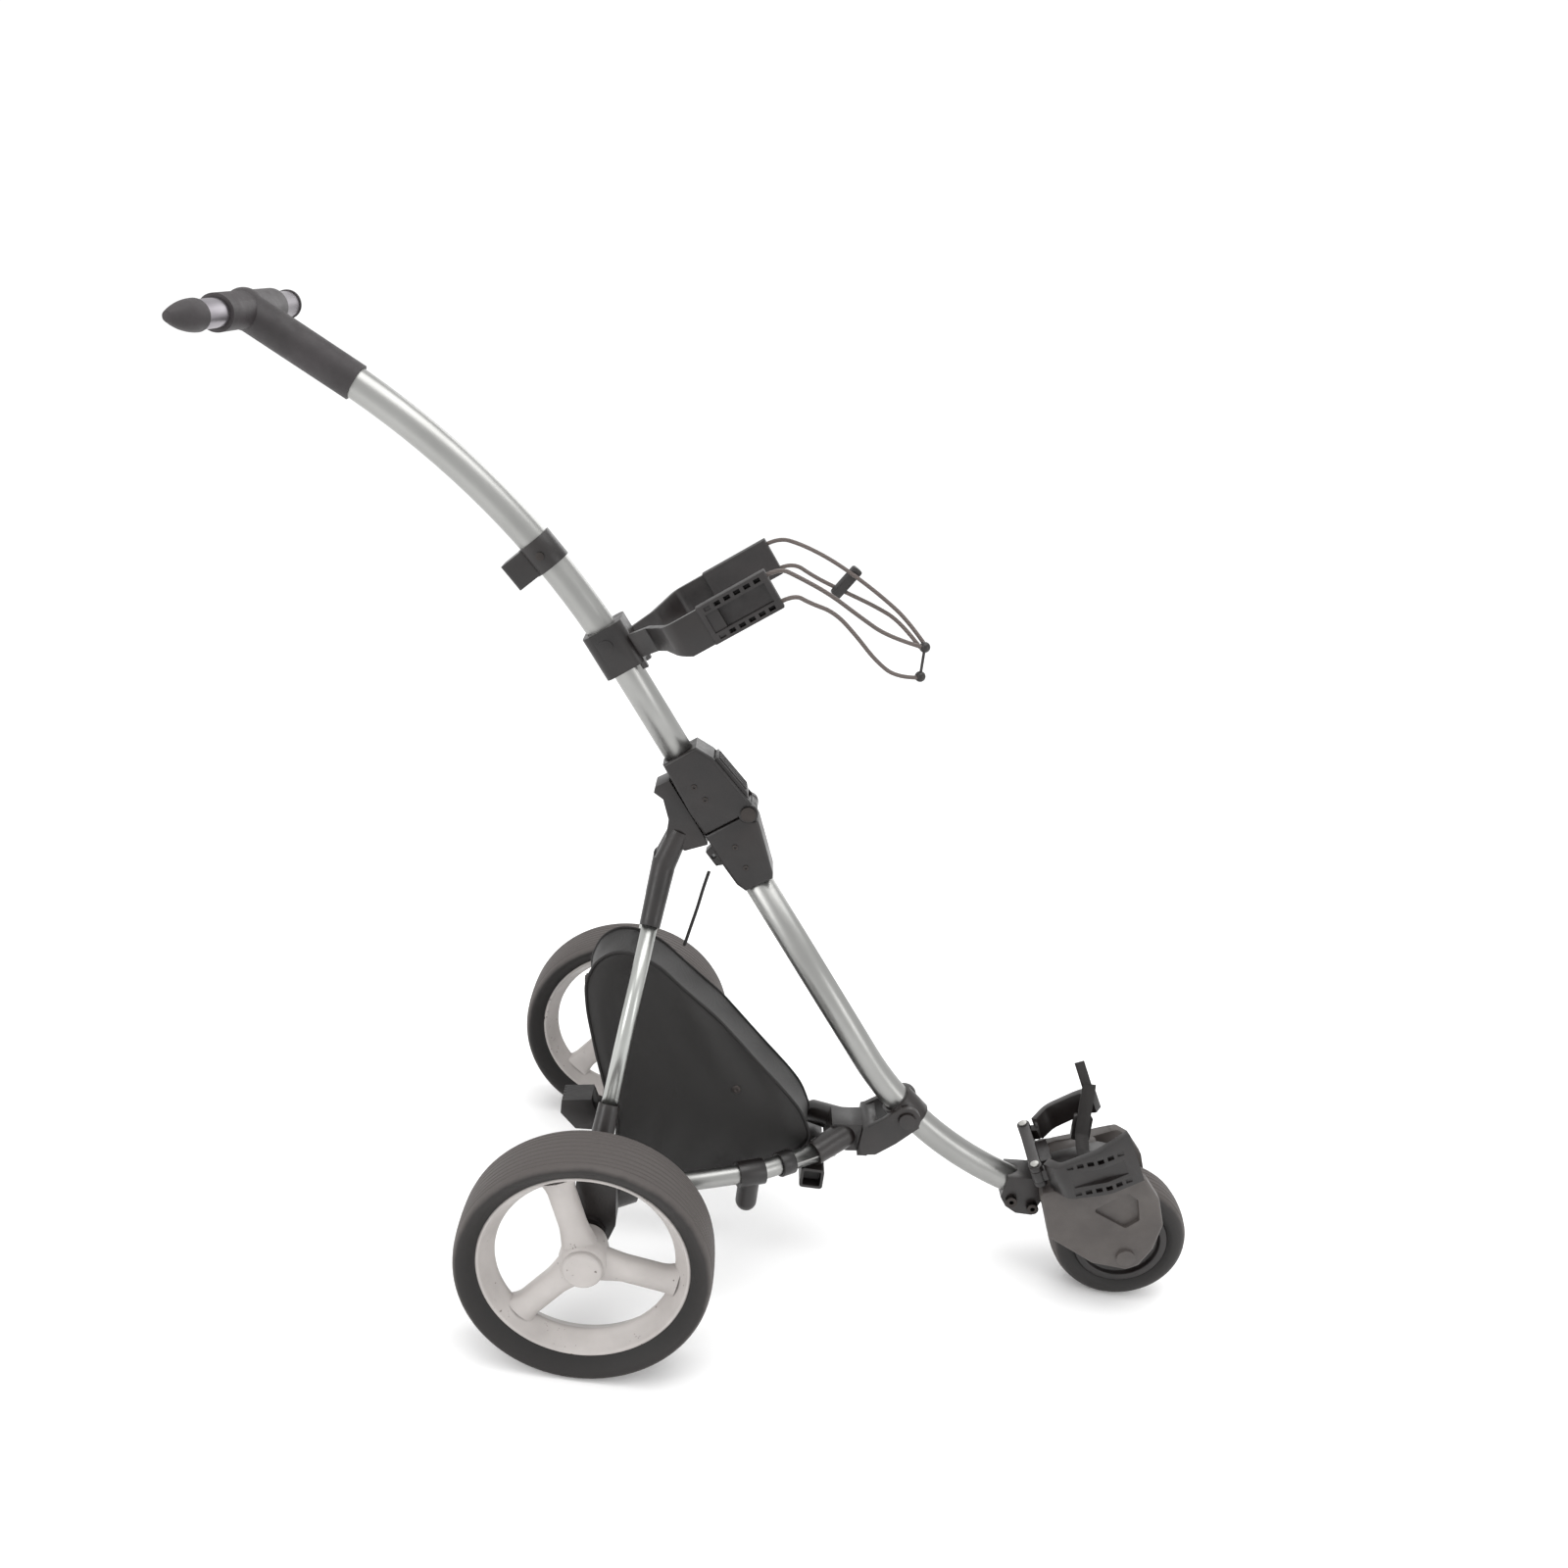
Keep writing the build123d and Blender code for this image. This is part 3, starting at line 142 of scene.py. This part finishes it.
def grain(tree, bsdf, height, strength, depth):
    """Bump from one height output; depth in metres."""
    b = add_node(tree, "ShaderNodeBump", [("Height", *height)], Strength=strength, Distance=depth)
    tree.links.new(b.outputs["Normal"], bsdf.inputs["Normal"])


def noise(tree, coord, scale, detail=3.0, rough=0.5, stretch=None):
    if stretch is None:
        return add_node(tree, "ShaderNodeTexNoise", [("Vector", coord, "Object")], Scale=scale,
                        Detail=detail, Roughness=rough)
    fit = add_node(tree, "ShaderNodeMapping", [("Vector", coord, "Object")], Scale=stretch)
    return add_node(tree, "ShaderNodeTexNoise", [("Vector", fit, "Vector")], Scale=scale, Detail=detail,
                    Roughness=rough)


def plastic(name, dark, pale, rough, grain_mm, depth, chips=None):
    """Moulded plastic: fine spark-eroded grain, faint colour clouding, worn patches."""
    m, tree, bsdf, coord = new_material(name, IOR=1.5)
    cloud = noise(tree, coord, 22, 4)
    tint = ramp(tree, cloud, "Fac", [(0.35, dark), (0.7, pale)])
    if chips:
        spots = ramp(tree, noise(tree, coord, 150, 3, 0.6), "Fac", [(0.66, 0.0), (0.69, 1.0)])
        where = ramp(tree, noise(tree, coord, 16, 2), "Fac", [(0.50, 0.0), (0.60, 1.0)])
        worn = add_node(tree, "ShaderNodeMath", [(0, spots, "Color"), (1, where, "Color")],
                        operation="MULTIPLY")
        mix = add_node(tree, "ShaderNodeMix", [(0, worn, "Value"), (6, tint, "Color")],
                       data_type="RGBA")
        mix.inputs[7].default_value = linear(chips)
        tree.links.new(mix.outputs[2], bsdf.inputs["Base Color"])
    else:
        tree.links.new(tint.outputs["Color"], bsdf.inputs["Base Color"])
    fine = noise(tree, coord, 1000 / grain_mm, 2)
    gloss = ramp(tree, noise(tree, coord, 60, 5, 0.65), "Fac", [(0.3, rough - 0.08), (0.7, rough + 0.1)])
    tree.links.new(gloss.outputs["Color"], bsdf.inputs["Roughness"])
    grain(tree, bsdf, (fine, "Fac"), 0.35, depth)
    return m


def anodised(name, dark, pale, rough, along):
    """Satin anodised aluminium with fine draw lines along the tube."""
    m, tree, bsdf, coord = new_material(name, Metallic=1.0)
    lines = noise(tree, coord, 900, 2, 0.5, along)
    cloud = noise(tree, coord, 9, 3)
    mix = add_node(tree, "ShaderNodeMix", [("Factor", lines, "Fac")], data_type="FLOAT")
    mix.inputs["A"].default_value = rough - 0.05
    mix.inputs["B"].default_value = rough + 0.07
    tree.links.new(mix.outputs["Result"], bsdf.inputs["Roughness"])
    tint = ramp(tree, cloud, "Fac", [(0.3, dark), (0.7, pale)])
    tree.links.new(tint.outputs["Color"], bsdf.inputs["Base Color"])
    grain(tree, bsdf, (lines, "Fac"), 0.12, 0.0002)
    return m


def tyre_rubber(name, centre, bead, crown):
    """Foam rubber: dark sidewall, tread paler towards the crown, with random mottling."""
    m, tree, bsdf, coord = new_material(name, IOR=1.45)
    away = add_node(tree, "ShaderNodeVectorMath", [(0, coord, "Object")], operation="SUBTRACT")
    away.inputs[1].default_value = centre
    flat = add_node(tree, "ShaderNodeVectorMath", [(0, away, "Vector")], operation="MULTIPLY")
    flat.inputs[1].default_value = (1, 0, 1)
    radius = add_node(tree, "ShaderNodeVectorMath", [(0, flat, "Vector")], operation="LENGTH")
    span = add_node(tree, "ShaderNodeMapRange", [("Value", radius, "Value")])
    span.inputs["From Min"].default_value = bead
    span.inputs["From Max"].default_value = crown
    mottle = noise(tree, coord, 38, 6, 0.7)
    both = add_node(tree, "ShaderNodeMath", [(0, mottle, "Fac")], operation="MULTIPLY_ADD")
    both.inputs[1].default_value = 0.22
    tree.links.new(span.outputs["Result"], both.inputs[2])
    tint = ramp(tree, both, "Value", [(0.25, "131110"), (0.82, "1e1b1a"), (1.0, "474240")])
    tree.links.new(tint.outputs["Color"], bsdf.inputs["Base Color"])
    bsdf.inputs["Roughness"].default_value = 0.62
    fine = noise(tree, coord, 900, 3)
    grain(tree, bsdf, (fine, "Fac"), 0.3, 0.0004)
    return m


def woven(name, dark, pale, pitch_mm, rough, sheen=0.3, wave_dir=(1, 1, 1)):
    """Cloth with two crossing sets of threads at the real thread pitch."""
    m, tree, bsdf, coord = new_material(name, Sheen_Weight=sheen, Sheen_Roughness=0.4, Roughness=rough)
    fit = add_node(tree, "ShaderNodeMapping", [("Vector", coord, "Object")], Scale=wave_dir)
    k = 2 * math.pi * 1000 / pitch_mm / 20
    warp = add_node(tree, "ShaderNodeTexWave", [("Vector", fit, "Vector")], wave_type="BANDS",
                    bands_direction="X", Scale=k, Distortion=0.4, Detail=1.0)
    weft = add_node(tree, "ShaderNodeTexWave", [("Vector", fit, "Vector")], wave_type="BANDS",
                    bands_direction="Z", Scale=k, Distortion=0.4, Detail=1.0)
    cross = add_node(tree, "ShaderNodeMath", [(0, warp, "Fac"), (1, weft, "Fac")], operation="MULTIPLY")
    cloud = noise(tree, coord, 14, 4, 0.6)
    both = add_node(tree, "ShaderNodeMath", [(0, cross, "Value"), (1, cloud, "Fac")],
                    operation="MULTIPLY")
    tint = ramp(tree, both, "Value", [(0.0, dark), (0.6, pale)])
    tree.links.new(tint.outputs["Color"], bsdf.inputs["Base Color"])
    grain(tree, bsdf, (cross, "Value"), 0.5, 0.0004)
    return m


tube_silver = anodised("satin_anodised_aluminium", "8f8f8d", "9b9b99", 0.34, (0.08, 1, 0.06))
strut_silver = anodised("bright_anodised_aluminium", "a3a5a2", "b0b1ae", 0.30, (1, 1, 0.05))
zinc_steel = anodised("zinc_plated_steel", "9b9b98", "b2b1ad", 0.35, (1, 1, 1))
black_steel = anodised("blackened_steel", "343130", "4a4644", 0.42, (1, 1, 1))
black_plastic = plastic("black_glass_filled_nylon", "100d0d", "1b1615", 0.36, 0.9, 0.0004)
cast_black = plastic("powder_coated_casting", "141110", "201b1a", 0.36, 1.6, 0.0005)
cover_plastic = plastic("grey_moulded_cover", "3d3836", "4a4542", 0.50, 0.8, 0.0003)
rim_plastic = plastic("light_grey_moulded_rim", "a29d9a", "b0aba8", 0.42, 1.2, 0.0002, "443a35")
soft_grip = plastic("soft_touch_rubber", "231f20", "302b2d", 0.58, 0.6, 0.0005)
grip_metal = anodised("metallic_grip_paint", "7f7b80", "959196", 0.36, (1, 0.05, 1))
pad_rubber = plastic("cradle_pad_rubber", "161313", "221e1e", 0.58, 0.7, 0.0004)
nylon_cloth = woven("pouch_nylon_cloth", "0a0807", "1a1513", 0.9, 0.58, 0.0)
zip_coil = anodised("dark_zip_coil", "3a3634", "4c4744", 0.40, (1, 1, 1))
edge_tape = woven("pouch_edge_tape", "0d0a0a", "1c1716", 0.6, 0.65, 0.0, (1, 1, 1))
cord_cloth = woven("braided_elastic_cord", "4a423f", "6d635f", 1.5, 0.75, 0.35, (1, 1, 0.6))
webbing = woven("polyester_webbing", "100d0c", "282321", 1.2, 0.68, 0.05)


# ---------------------------------------------------------------- moulded and metal CAD pieces
# Tubes, castings, housings, brackets and fixings keep their CAD shapes. Each gets its real
# material, smooth shading across curved faces and a small broken edge where it is moulded.
def dress(name, material, edge_mm=0.0):
    o = nodes[name]
    o.data.materials.clear()
    o.data.materials.append(material)
    join = o.modifiers.new("join_corners", "WELD")
    join.merge_threshold = 0.00002
    if edge_mm:
        b = o.modifiers.new("broken_edge", "BEVEL")
        b.width = edge_mm / 1000
        b.segments = 2
        b.limit_method = "ANGLE"
        b.angle_limit = math.radians(32)
        b.use_clamp_overlap = True
    o.data.shade_smooth()
    o.data.set_sharp_from_angle(angle=math.radians(32))
    return o


for name in ("upper_tube", "lower_tube", "side_tube_left", "side_tube_right"):
    dress(name, tube_silver)
for name in ("strut_left", "strut_right"):
    dress(name, strut_silver)
for name in ("front_axle", "wheel_axles", "cradle_pins"):
    dress(name, zinc_steel, 0.3)
for name in ("hinge_pin", "hinge_screws_upper", "hinge_screws_lower", "clamp_screws", "fork_bolts"):
    dress(name, black_steel, 0.3)
for name in ("hinge_upper", "hinge_lower", "latch_lever", "catch_yoke", "strap_hook", "accessory_clamp",
             "upper_cradle", "lower_cradle", "lower_arm_left", "lower_arm_right", "cross_socket",
             "tube_collars", "rest_feet", "axle_beam", "front_rim", "lower_buckle", "bungee_fittings"):
    dress(name, black_plastic, 0.8)
for name in ("wishbone", "fork_core", "pivot_collar", "pivot_pins", "wheel_carrier_left",
             "wheel_carrier_right"):
    dress(name, cast_black, 1.2)
for name in ("fork_cover_left", "fork_cover_right"):
    dress(name, cover_plastic, 1.0)
for name in ("rear_rim_left", "rear_rim_right", "hub_cap_left", "hub_cap_right"):
    dress(name, rim_plastic, 0.8)
for name in ("handle_sleeve", "grip_cap_left", "grip_cap_right"):
    dress(name, soft_grip, 0.8)
dress("handle_bar", grip_metal, 0.4)
for name in ("upper_pad_left", "upper_pad_right"):
    dress(name, pad_rubber, 0.8)
dress("lower_strap", webbing)
axle_y = {}
for name in ("left", "right"):
    low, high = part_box("rear_tyre_" + name)
    axle_y[name] = (low + high) / 2
    dress("rear_tyre_" + name, tyre_rubber("foam_rubber_" + name, axle_y[name], 0.1156, 0.140))
low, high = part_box("front_tyre")
dress("front_tyre", tyre_rubber("foam_rubber_front", (low + high) / 2, 0.056, 0.082))

# ---------------------------------------------------------------- elastic bag cords
# Two loops of braided elastic cord, each leaving its pad at two outlets and meeting at the hooks.
AX = axle_y["right"].x
cord_ends = {"top": (-0.017395, 0.864775), "low": (0.001044, 0.839855)}
cord_routes = {
    "bungee_left_top": [(141, 66, 871), (173, 56, 861), (205, 46, 846), (236, 35, 829), (264, 22, 811),
                        (283, 5.5, 792)],
    "bungee_left_low": [(160, 69, 836), (196, 55, 826), (228, 41, 818), (257, 24, 808), (279.5, 2.5, 787.5)],
    "bungee_right_top": [(134, -66, 864), (171, -50, 846), (206, -37, 823), (241, -22, 801),
                         (279, -3.5, 790)],
    "bungee_right_low": [(151, -67, 838), (179, -53, 828), (205, -43, 804), (230, -33, 777),
                         (256, -22, 758), (281, -5, 756)],
}


def nurbs_cord(name, points, diameter, material, body):
    data = bpy.data.curves.new(name, "CURVE")
    data.dimensions = "3D"
    spline = data.splines.new("NURBS")
    spline.points.add(len(points) - 1)
    for p, xyz in zip(spline.points, points):
        p.co = (*xyz, 1.0)
    spline.order_u = 3
    spline.use_endpoint_u = True
    spline.resolution_u = 10
    data.bevel_depth = diameter / 2
    data.bevel_resolution = 5
    data.use_fill_caps = True
    data.materials.append(material)
    o = bpy.data.objects.new(name, data)
    bpy.context.scene.collection.objects.link(o)
    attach(o, body)
    return o


def curve_length(o):
    dense = o.data.copy()
    dense.bevel_depth = 0
    probe = bpy.data.objects.new("probe", dense)
    mesh = bpy.data.meshes.new_from_object(probe)
    co = np.array([v.co for v in mesh.vertices])
    bpy.data.objects.remove(probe)
    return float(np.linalg.norm(np.diff(co, axis=0), axis=1).sum())


for name, points in cord_routes.items():
    side = 1 if "left" in name else -1
    x, z = cord_ends["top" if "top" in name else "low"]
    route = [(x - 0.004823, side * 0.080, z - 0.003569), (x + 0.011254, side * 0.080, z + 0.008328)]
    route += [(AX + a / 1000, b / 1000, c / 1000) for a, b, c in points]
    cord = nurbs_cord(name + "_cord", route, 0.0046, cord_cloth, "handle_section")
    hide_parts(name)
    curve_length(cord)

strap = [(AX + a / 1000, b / 1000, c / 1000) for a, b, c in
         [(84, 0, 496), (80, 1.5, 476), (76, -1, 450), (71, 1, 424), (66, 0, 398)]]
pouch_cord = nurbs_cord("pouch_hanging_cord", strap, 0.004, edge_tape, "undercarriage")
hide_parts("pouch_strap")
curve_length(pouch_cord)


def make_mesh(name, verts, faces, material, body, smooth=True):
    mesh = bpy.data.meshes.new(name)
    mesh.from_pydata([tuple(v) for v in verts], [], [tuple(f) for f in faces])
    mesh.update()
    mesh.materials.append(material)
    if smooth:
        mesh.shade_smooth()
    o = bpy.data.objects.new(name, mesh)
    bpy.context.scene.collection.objects.link(o)
    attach(o, body)
    return o


# ---------------------------------------------------------------- accessory pouch
# A soft nylon bag: two flat side panels, a gusset strip between them, piped edges,
# vertical folds where the cloth hangs and a slack bulge near the bottom.
outline = np.array([(20, 88), (120, 98), (190, 126), (228, 150), (247, 176), (230, 212), (212, 232),
                    (170, 272), (119, 322), (64, 364), (40, 384), (10, 396), (-14, 396), (-34, 380),
                    (-44, 350), (-38, 312), (-22, 254), (-6, 205), (12, 170), (13, 130), (12, 100)], float)


def smooth_loop(points, count, passes):
    """Evenly spaced points round a closed outline, with softened corners."""
    p = np.vstack([points, points[:1]])
    s = np.r_[0, np.cumsum(np.linalg.norm(np.diff(p, axis=0), axis=1))]
    t = np.linspace(0, s[-1], count, endpoint=False)
    q = np.c_[np.interp(t, s, p[:, 0]), np.interp(t, s, p[:, 1])]
    for _ in range(passes):
        q = q * 0.5 + (np.roll(q, 1, 0) + np.roll(q, -1, 0)) * 0.25
    return q


loop = smooth_loop(outline, 220, 8)
middle = np.array((78.0, 220.0))
half = 32.0
rings = 26
verts, faces = [], []


def folds(x, z, side):
    """Depth of the folds over a side panel in mm, from slow and quick waves across the cloth."""
    lean = x + 0.22 * (z - 250)
    slow = np.sin(lean / 21 + 0.8 * side + 0.5 * np.sin(z / 46)) * np.sin(z / 83 + 0.6)
    quick = np.sin(lean / 9.3 + 1.9 * np.sin(z / 37 + side)) * np.cos(z / 59 + 0.01 * x)
    drag = np.sin((x * 0.75 + z * 0.66) / 14 + side) * np.exp(-((x - 190) ** 2 + (z - 160) ** 2) / 3600)
    return 5.0 * slow + 2.2 * quick + 3.6 * drag


count = len(loop)
for side in (-1, 1):
    for k in range(rings):
        f = 1 - k / rings
        ring = middle + (loop - middle) * f
        depth = half + 7.0 * (1 - f ** 2.4) * np.clip(1.35 - (ring[:, 1] - 90) / 330, 0.35, 1.2)
        wave = folds(ring[:, 0], ring[:, 1], side) * np.clip((1 - f) * 7, 0, 1)
        for (x, z), d, w in zip(ring, depth, wave):
            verts.append((AX + x / 1000, side * (d + w) / 1000, z / 1000))
    verts.append((AX + middle[0] / 1000, side * (half + 7.5) / 1000, middle[1] / 1000))
block = rings * count + 1
for s in (0, 1):
    base = s * block
    for k in range(rings - 1):
        for i in range(count):
            j = (i + 1) % count
            quad = (base + k * count + i, base + k * count + j, base + (k + 1) * count + j,
                    base + (k + 1) * count + i)
            faces.append(quad if s else quad[::-1])
    for i in range(count):
        j = (i + 1) % count
        last = base + (rings - 1) * count
        tri = (last + i, last + j, base + block - 1)
        faces.append(tri if s else tri[::-1])
# gusset strip between the panels, drawn in a little between the seams
across = 9
first = len(verts)
normal = np.roll(loop, -1, 0) - np.roll(loop, 1, 0)
normal = np.c_[normal[:, 1], -normal[:, 0]]
normal /= np.linalg.norm(normal, axis=1)[:, None]
if ((loop - middle) * normal).sum() < 0:
    normal = -normal
for a in range(1, across):
    t = a / across * 2 - 1
    for i, ((x, z), (nx, nz)) in enumerate(zip(loop, normal)):
        pull = -2.4 * (1 - t * t) + 0.9 * np.sin(i * 0.42 + 1.3 * t) * (1 - t * t)
        verts.append((AX + (x + nx * pull) / 1000, t * half / 1000, (z + nz * pull) / 1000))
rows = [0] + [first + a * count for a in range(across - 1)] + [block]
for r0, r1 in zip(rows[:-1], rows[1:]):
    for i in range(count):
        j = (i + 1) % count
        faces.append((r0 + i, r0 + j, r1 + j, r1 + i))
pouch = make_mesh("pouch_bag", verts, faces, nylon_cloth, "undercarriage")
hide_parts("pouch")


def grid_faces(rows_n, across_n, closed):
    """Quads of a grid whose rows are closed loops; closed also joins its last row to the first."""
    i, k = np.meshgrid(np.arange(rows_n if closed else rows_n - 1), np.arange(across_n), indexing="ij")
    j, m = (i + 1) % rows_n, (k + 1) % across_n
    quads = np.stack([i * across_n + k, i * across_n + m, j * across_n + m, j * across_n + k], axis=-1)
    return quads.reshape(-1, 4).tolist()


def tube_along(name, path, radius, material, body, sides=8, closed=False):
    """Round bead along a path given in metres."""
    path = np.array(path, float)
    if closed:
        tangent = np.roll(path, -1, 0) - np.roll(path, 1, 0)
    else:
        tangent = np.gradient(path, axis=0)
    tangent /= np.linalg.norm(tangent, axis=1)[:, None]
    ref = np.array((0.0, 1.0, 0.0))
    if abs((tangent @ ref)).max() > 0.95:
        ref = np.array((0.3, 0.2, 1.0))
    u = np.cross(tangent, ref)
    u /= np.linalg.norm(u, axis=1)[:, None]
    w = np.cross(tangent, u)
    g = np.arange(sides)[None, :, None] * 2 * math.pi / sides
    v = path[:, None] + radius * (np.cos(g) * u[:, None] + np.sin(g) * w[:, None])
    v = v.reshape(-1, 3)
    n = len(path)
    f = grid_faces(n, sides, closed)
    if not closed:
        f.append(tuple(range(sides))[::-1])
        f.append(tuple((n - 1) * sides + k for k in range(sides)))
    return make_mesh(name, v, f, material, body)


def revolve(name, centre, profile, segments, material, body):
    """Closed ring from a loop of (radius, offset along the axle) points in mm."""
    prof = np.array(profile, float) / 1000
    n = len(prof)
    g = np.arange(segments)[:, None] * 2 * math.pi / segments
    r, h = prof[None, :, 0], prof[None, :, 1]
    v = np.stack([centre[0] + r * np.cos(g), centre[1] + h + 0 * g, centre[2] + r * np.sin(g)], axis=-1)
    return make_mesh(name, v.reshape(-1, 3), grid_faces(segments, n, True), material, body)


for side, word in ((-1, "right"), (1, "left")):
    tube_along("pouch_piping_" + word,
               [(AX + x / 1000, side * (half + 0.4) / 1000, z / 1000) for x, z in loop], 0.0016,
               edge_tape, "undercarriage", closed=True)

# Zip with its two tapes along the hanging edge and a press stud that closes the flap.
def edge_run(low_z, high_z):
    """Points of the pouch outline on its hanging (rear) edge between two heights."""
    run = [(x, z) for x, z in loop if low_z < z < high_z and x < middle[0] - 20]
    return sorted(run, key=lambda p: p[1])


zip_path = [(AX + (x - 1.2) / 1000, -0.012, z / 1000) for x, z in edge_run(112, 352)]
tube_along("pouch_zip", zip_path, 0.0026, zip_coil, "undercarriage")
for k, y in enumerate((-0.0165, -0.0075)):
    tube_along("pouch_zip_tape_%d" % k, [(x + 0.0004, y, z) for x, _, z in zip_path], 0.0020, edge_tape,
               "undercarriage")
stud_at = (AX + 0.148, -(half + 6.0) / 1000, 0.236)
revolve("pouch_press_stud", stud_at, [(0.1, -2.4), (4.4, -2.2), (5.6, -1.0), (5.6, 4.0), (0.1, 4.0)], 40,
        black_steel, "undercarriage")

# ---------------------------------------------------------------- tyres
# Moulded foam-rubber tyres: a tapering smooth sidewall, a rounded shoulder and a low crown
# with fine circumferential ribs.
def tyre_profile(points, grooves, depth, width, seat_r, step=0.55):
    p = np.array(points, float)
    both = np.vstack([p * (1, -1), p[::-1]])
    s = np.r_[0, np.cumsum(np.linalg.norm(np.diff(both, axis=0), axis=1))]
    t = np.linspace(0, s[-1], int(s[-1] / step))
    q = np.c_[np.interp(t, s, both[:, 0]), np.interp(t, s, both[:, 1])]
    for _ in range(12):
        q[1:-1] = q[1:-1] * 0.5 + (q[:-2] + q[2:]) * 0.25
    on_tread = q[:, 0] > seat_r + 10
    for g in grooves:
        q[:, 0] -= on_tread * depth * np.exp(-((q[:, 1] - g) / width) ** 2)
    return np.vstack([q, [(seat_r - 0.2, p[0][1]), (seat_r - 0.2, -p[0][1])]])


rear_side = [(115.8, 22), (119, 24.6), (123.5, 29), (128, 33), (131.5, 35.2), (134, 35.4), (136.4, 33.6),
             (138.2, 29.5), (139.4, 22), (140, 9), (140.1, 0)]
rear_ribs = (-26, -20.5, -14.5, -7.5, 0, 7.5, 14.5, 20.5, 26)
front_side = [(56.3, 28.5), (58, 30), (62, 32.6), (67, 33), (72, 31.8), (77, 27.5), (80.2, 20), (81.8, 8),
              (82, 0)]
for word in ("left", "right"):
    tyre = revolve("foam_tyre_" + word, axle_y[word],
                   tyre_profile(rear_side, rear_ribs, 1.3, 0.75, 115.8),
                   288, nodes["rear_tyre_" + word].data.materials[0], "rear_wheel_" + word)
    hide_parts("rear_tyre_" + word)
low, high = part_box("front_tyre")
tyre = revolve("foam_tyre_front", (low + high) / 2,
               tyre_profile(front_side, (-22, -15, -8, 0, 8, 15, 22), 1.1, 0.7, 56.2), 224,
               nodes["front_tyre"].data.materials[0], "front_wheel")
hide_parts("front_tyre")

# ---------------------------------------------------------------- rear rims
# Injection-moulded rims: a barrel that narrows to a throat in the middle, three deep rounded
# spokes with a soft ridge along the outside, and a smooth hub. Knocks show as small dark chips.
barrel = [(115.6, -22), (115.6, 22), (113.6, 23.2), (112, 22.4), (109, 17), (103, 8), (98.5, 2.5), (97.5, 0),
          (98.5, -2.5), (103, -8), (109, -17), (112, -22.4), (113.6, -23.2)]
hub = [(6.4, -30), (18, -30), (20.5, -28), (24, -18), (27, -6), (28, 6), (26.6, 14), (24, 18.6), (22.4, 20),
       (6.4, 20)]


def softened(points, passes, step):
    p = np.array(list(points) + [points[0]], float)
    s = np.r_[0, np.cumsum(np.linalg.norm(np.diff(p, axis=0), axis=1))]
    t = np.linspace(0, s[-1], int(s[-1] / step), endpoint=False)
    q = np.c_[np.interp(t, s, p[:, 0]), np.interp(t, s, p[:, 1])]
    for _ in range(passes):
        q = q * 0.5 + (np.roll(q, 1, 0) + np.roll(q, -1, 0)) * 0.25
    return q


def spokes(name, centre, side, material, body):
    """Three lofted spokes; t is across a spoke, h along the axle towards the outside."""
    stations = np.r_[np.linspace(16, 86, 22), np.linspace(89, 103, 10)]
    ring = np.linspace(0, 2 * math.pi, 40, endpoint=False)
    v, f = [], []
    for turn in (111, 231, 351):
        g = math.radians(turn)
        e = np.array((math.cos(g), 0, math.sin(g)))
        q = np.array((-math.sin(g), 0, math.cos(g)))
        base = len(v)
        for r in stations:
            flare = max(0.0, (r - 84) / 19)
            waist = max(0.0, (46 - r) / 30)
            half_w = 15.2 + 5.4 * waist ** 1.4 + 6.0 * flare ** 2.2
            half_d = 9.5 + 2.0 * waist + 1.0 * flare
            mid = 2.0 + 2.5 * waist - 2.5 * flare
            ct, st = np.cos(ring), np.sin(ring)
            t = half_w * np.sign(ct) * np.abs(ct) ** 0.62
            h = mid + half_d * np.sign(st) * np.abs(st) ** 0.72
            h += np.where(st > 0, 3.0 * (1 - np.abs(t / half_w)), 0)
            row = r * e + t[:, None] * q + side * h[:, None] * np.array((0, 1, 0))
            v += list(np.array(centre) + row / 1000)
        n = len(ring)
        f += [tuple(base + c for c in quad) for quad in grid_faces(len(stations), n, False)]
        f.append(tuple(base + k for k in range(n)))
        f.append(tuple(base + (len(stations) - 1) * n + k for k in range(n))[::-1])
    return make_mesh(name, v, f, material, body)


for word, side in (("left", 1), ("right", -1)):
    body = "rear_wheel_" + word
    ring = revolve("rim_barrel_" + word, axle_y[word], softened(barrel, 3, 1.0), 224, rim_plastic, body)
    boss = revolve("rim_hub_" + word, axle_y[word], softened([(r, side * h) for r, h in hub], 3, 1.0), 96,
                   rim_plastic, body)
    arms = spokes("rim_spokes_" + word, axle_y[word], side, rim_plastic, body)
    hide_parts("rear_rim_" + word)

# ---------------------------------------------------------------- floor
# The plain studio floor that the three wheels stand on.
mesh = bpy.data.meshes.new("floor")
mesh.from_pydata([(-9, -6, 0), (9, -6, 0), (9, 12, 0), (-9, 12, 0)], [], [(0, 1, 2, 3)])
paper, tree, bsdf, coord = new_material("white_paper_floor", Roughness=0.9)
bsdf.inputs["Base Color"].default_value = linear("fbfbfb")
mesh.materials.append(paper)
floor = bpy.data.objects.new("floor", mesh)
bpy.context.scene.collection.objects.link(floor)
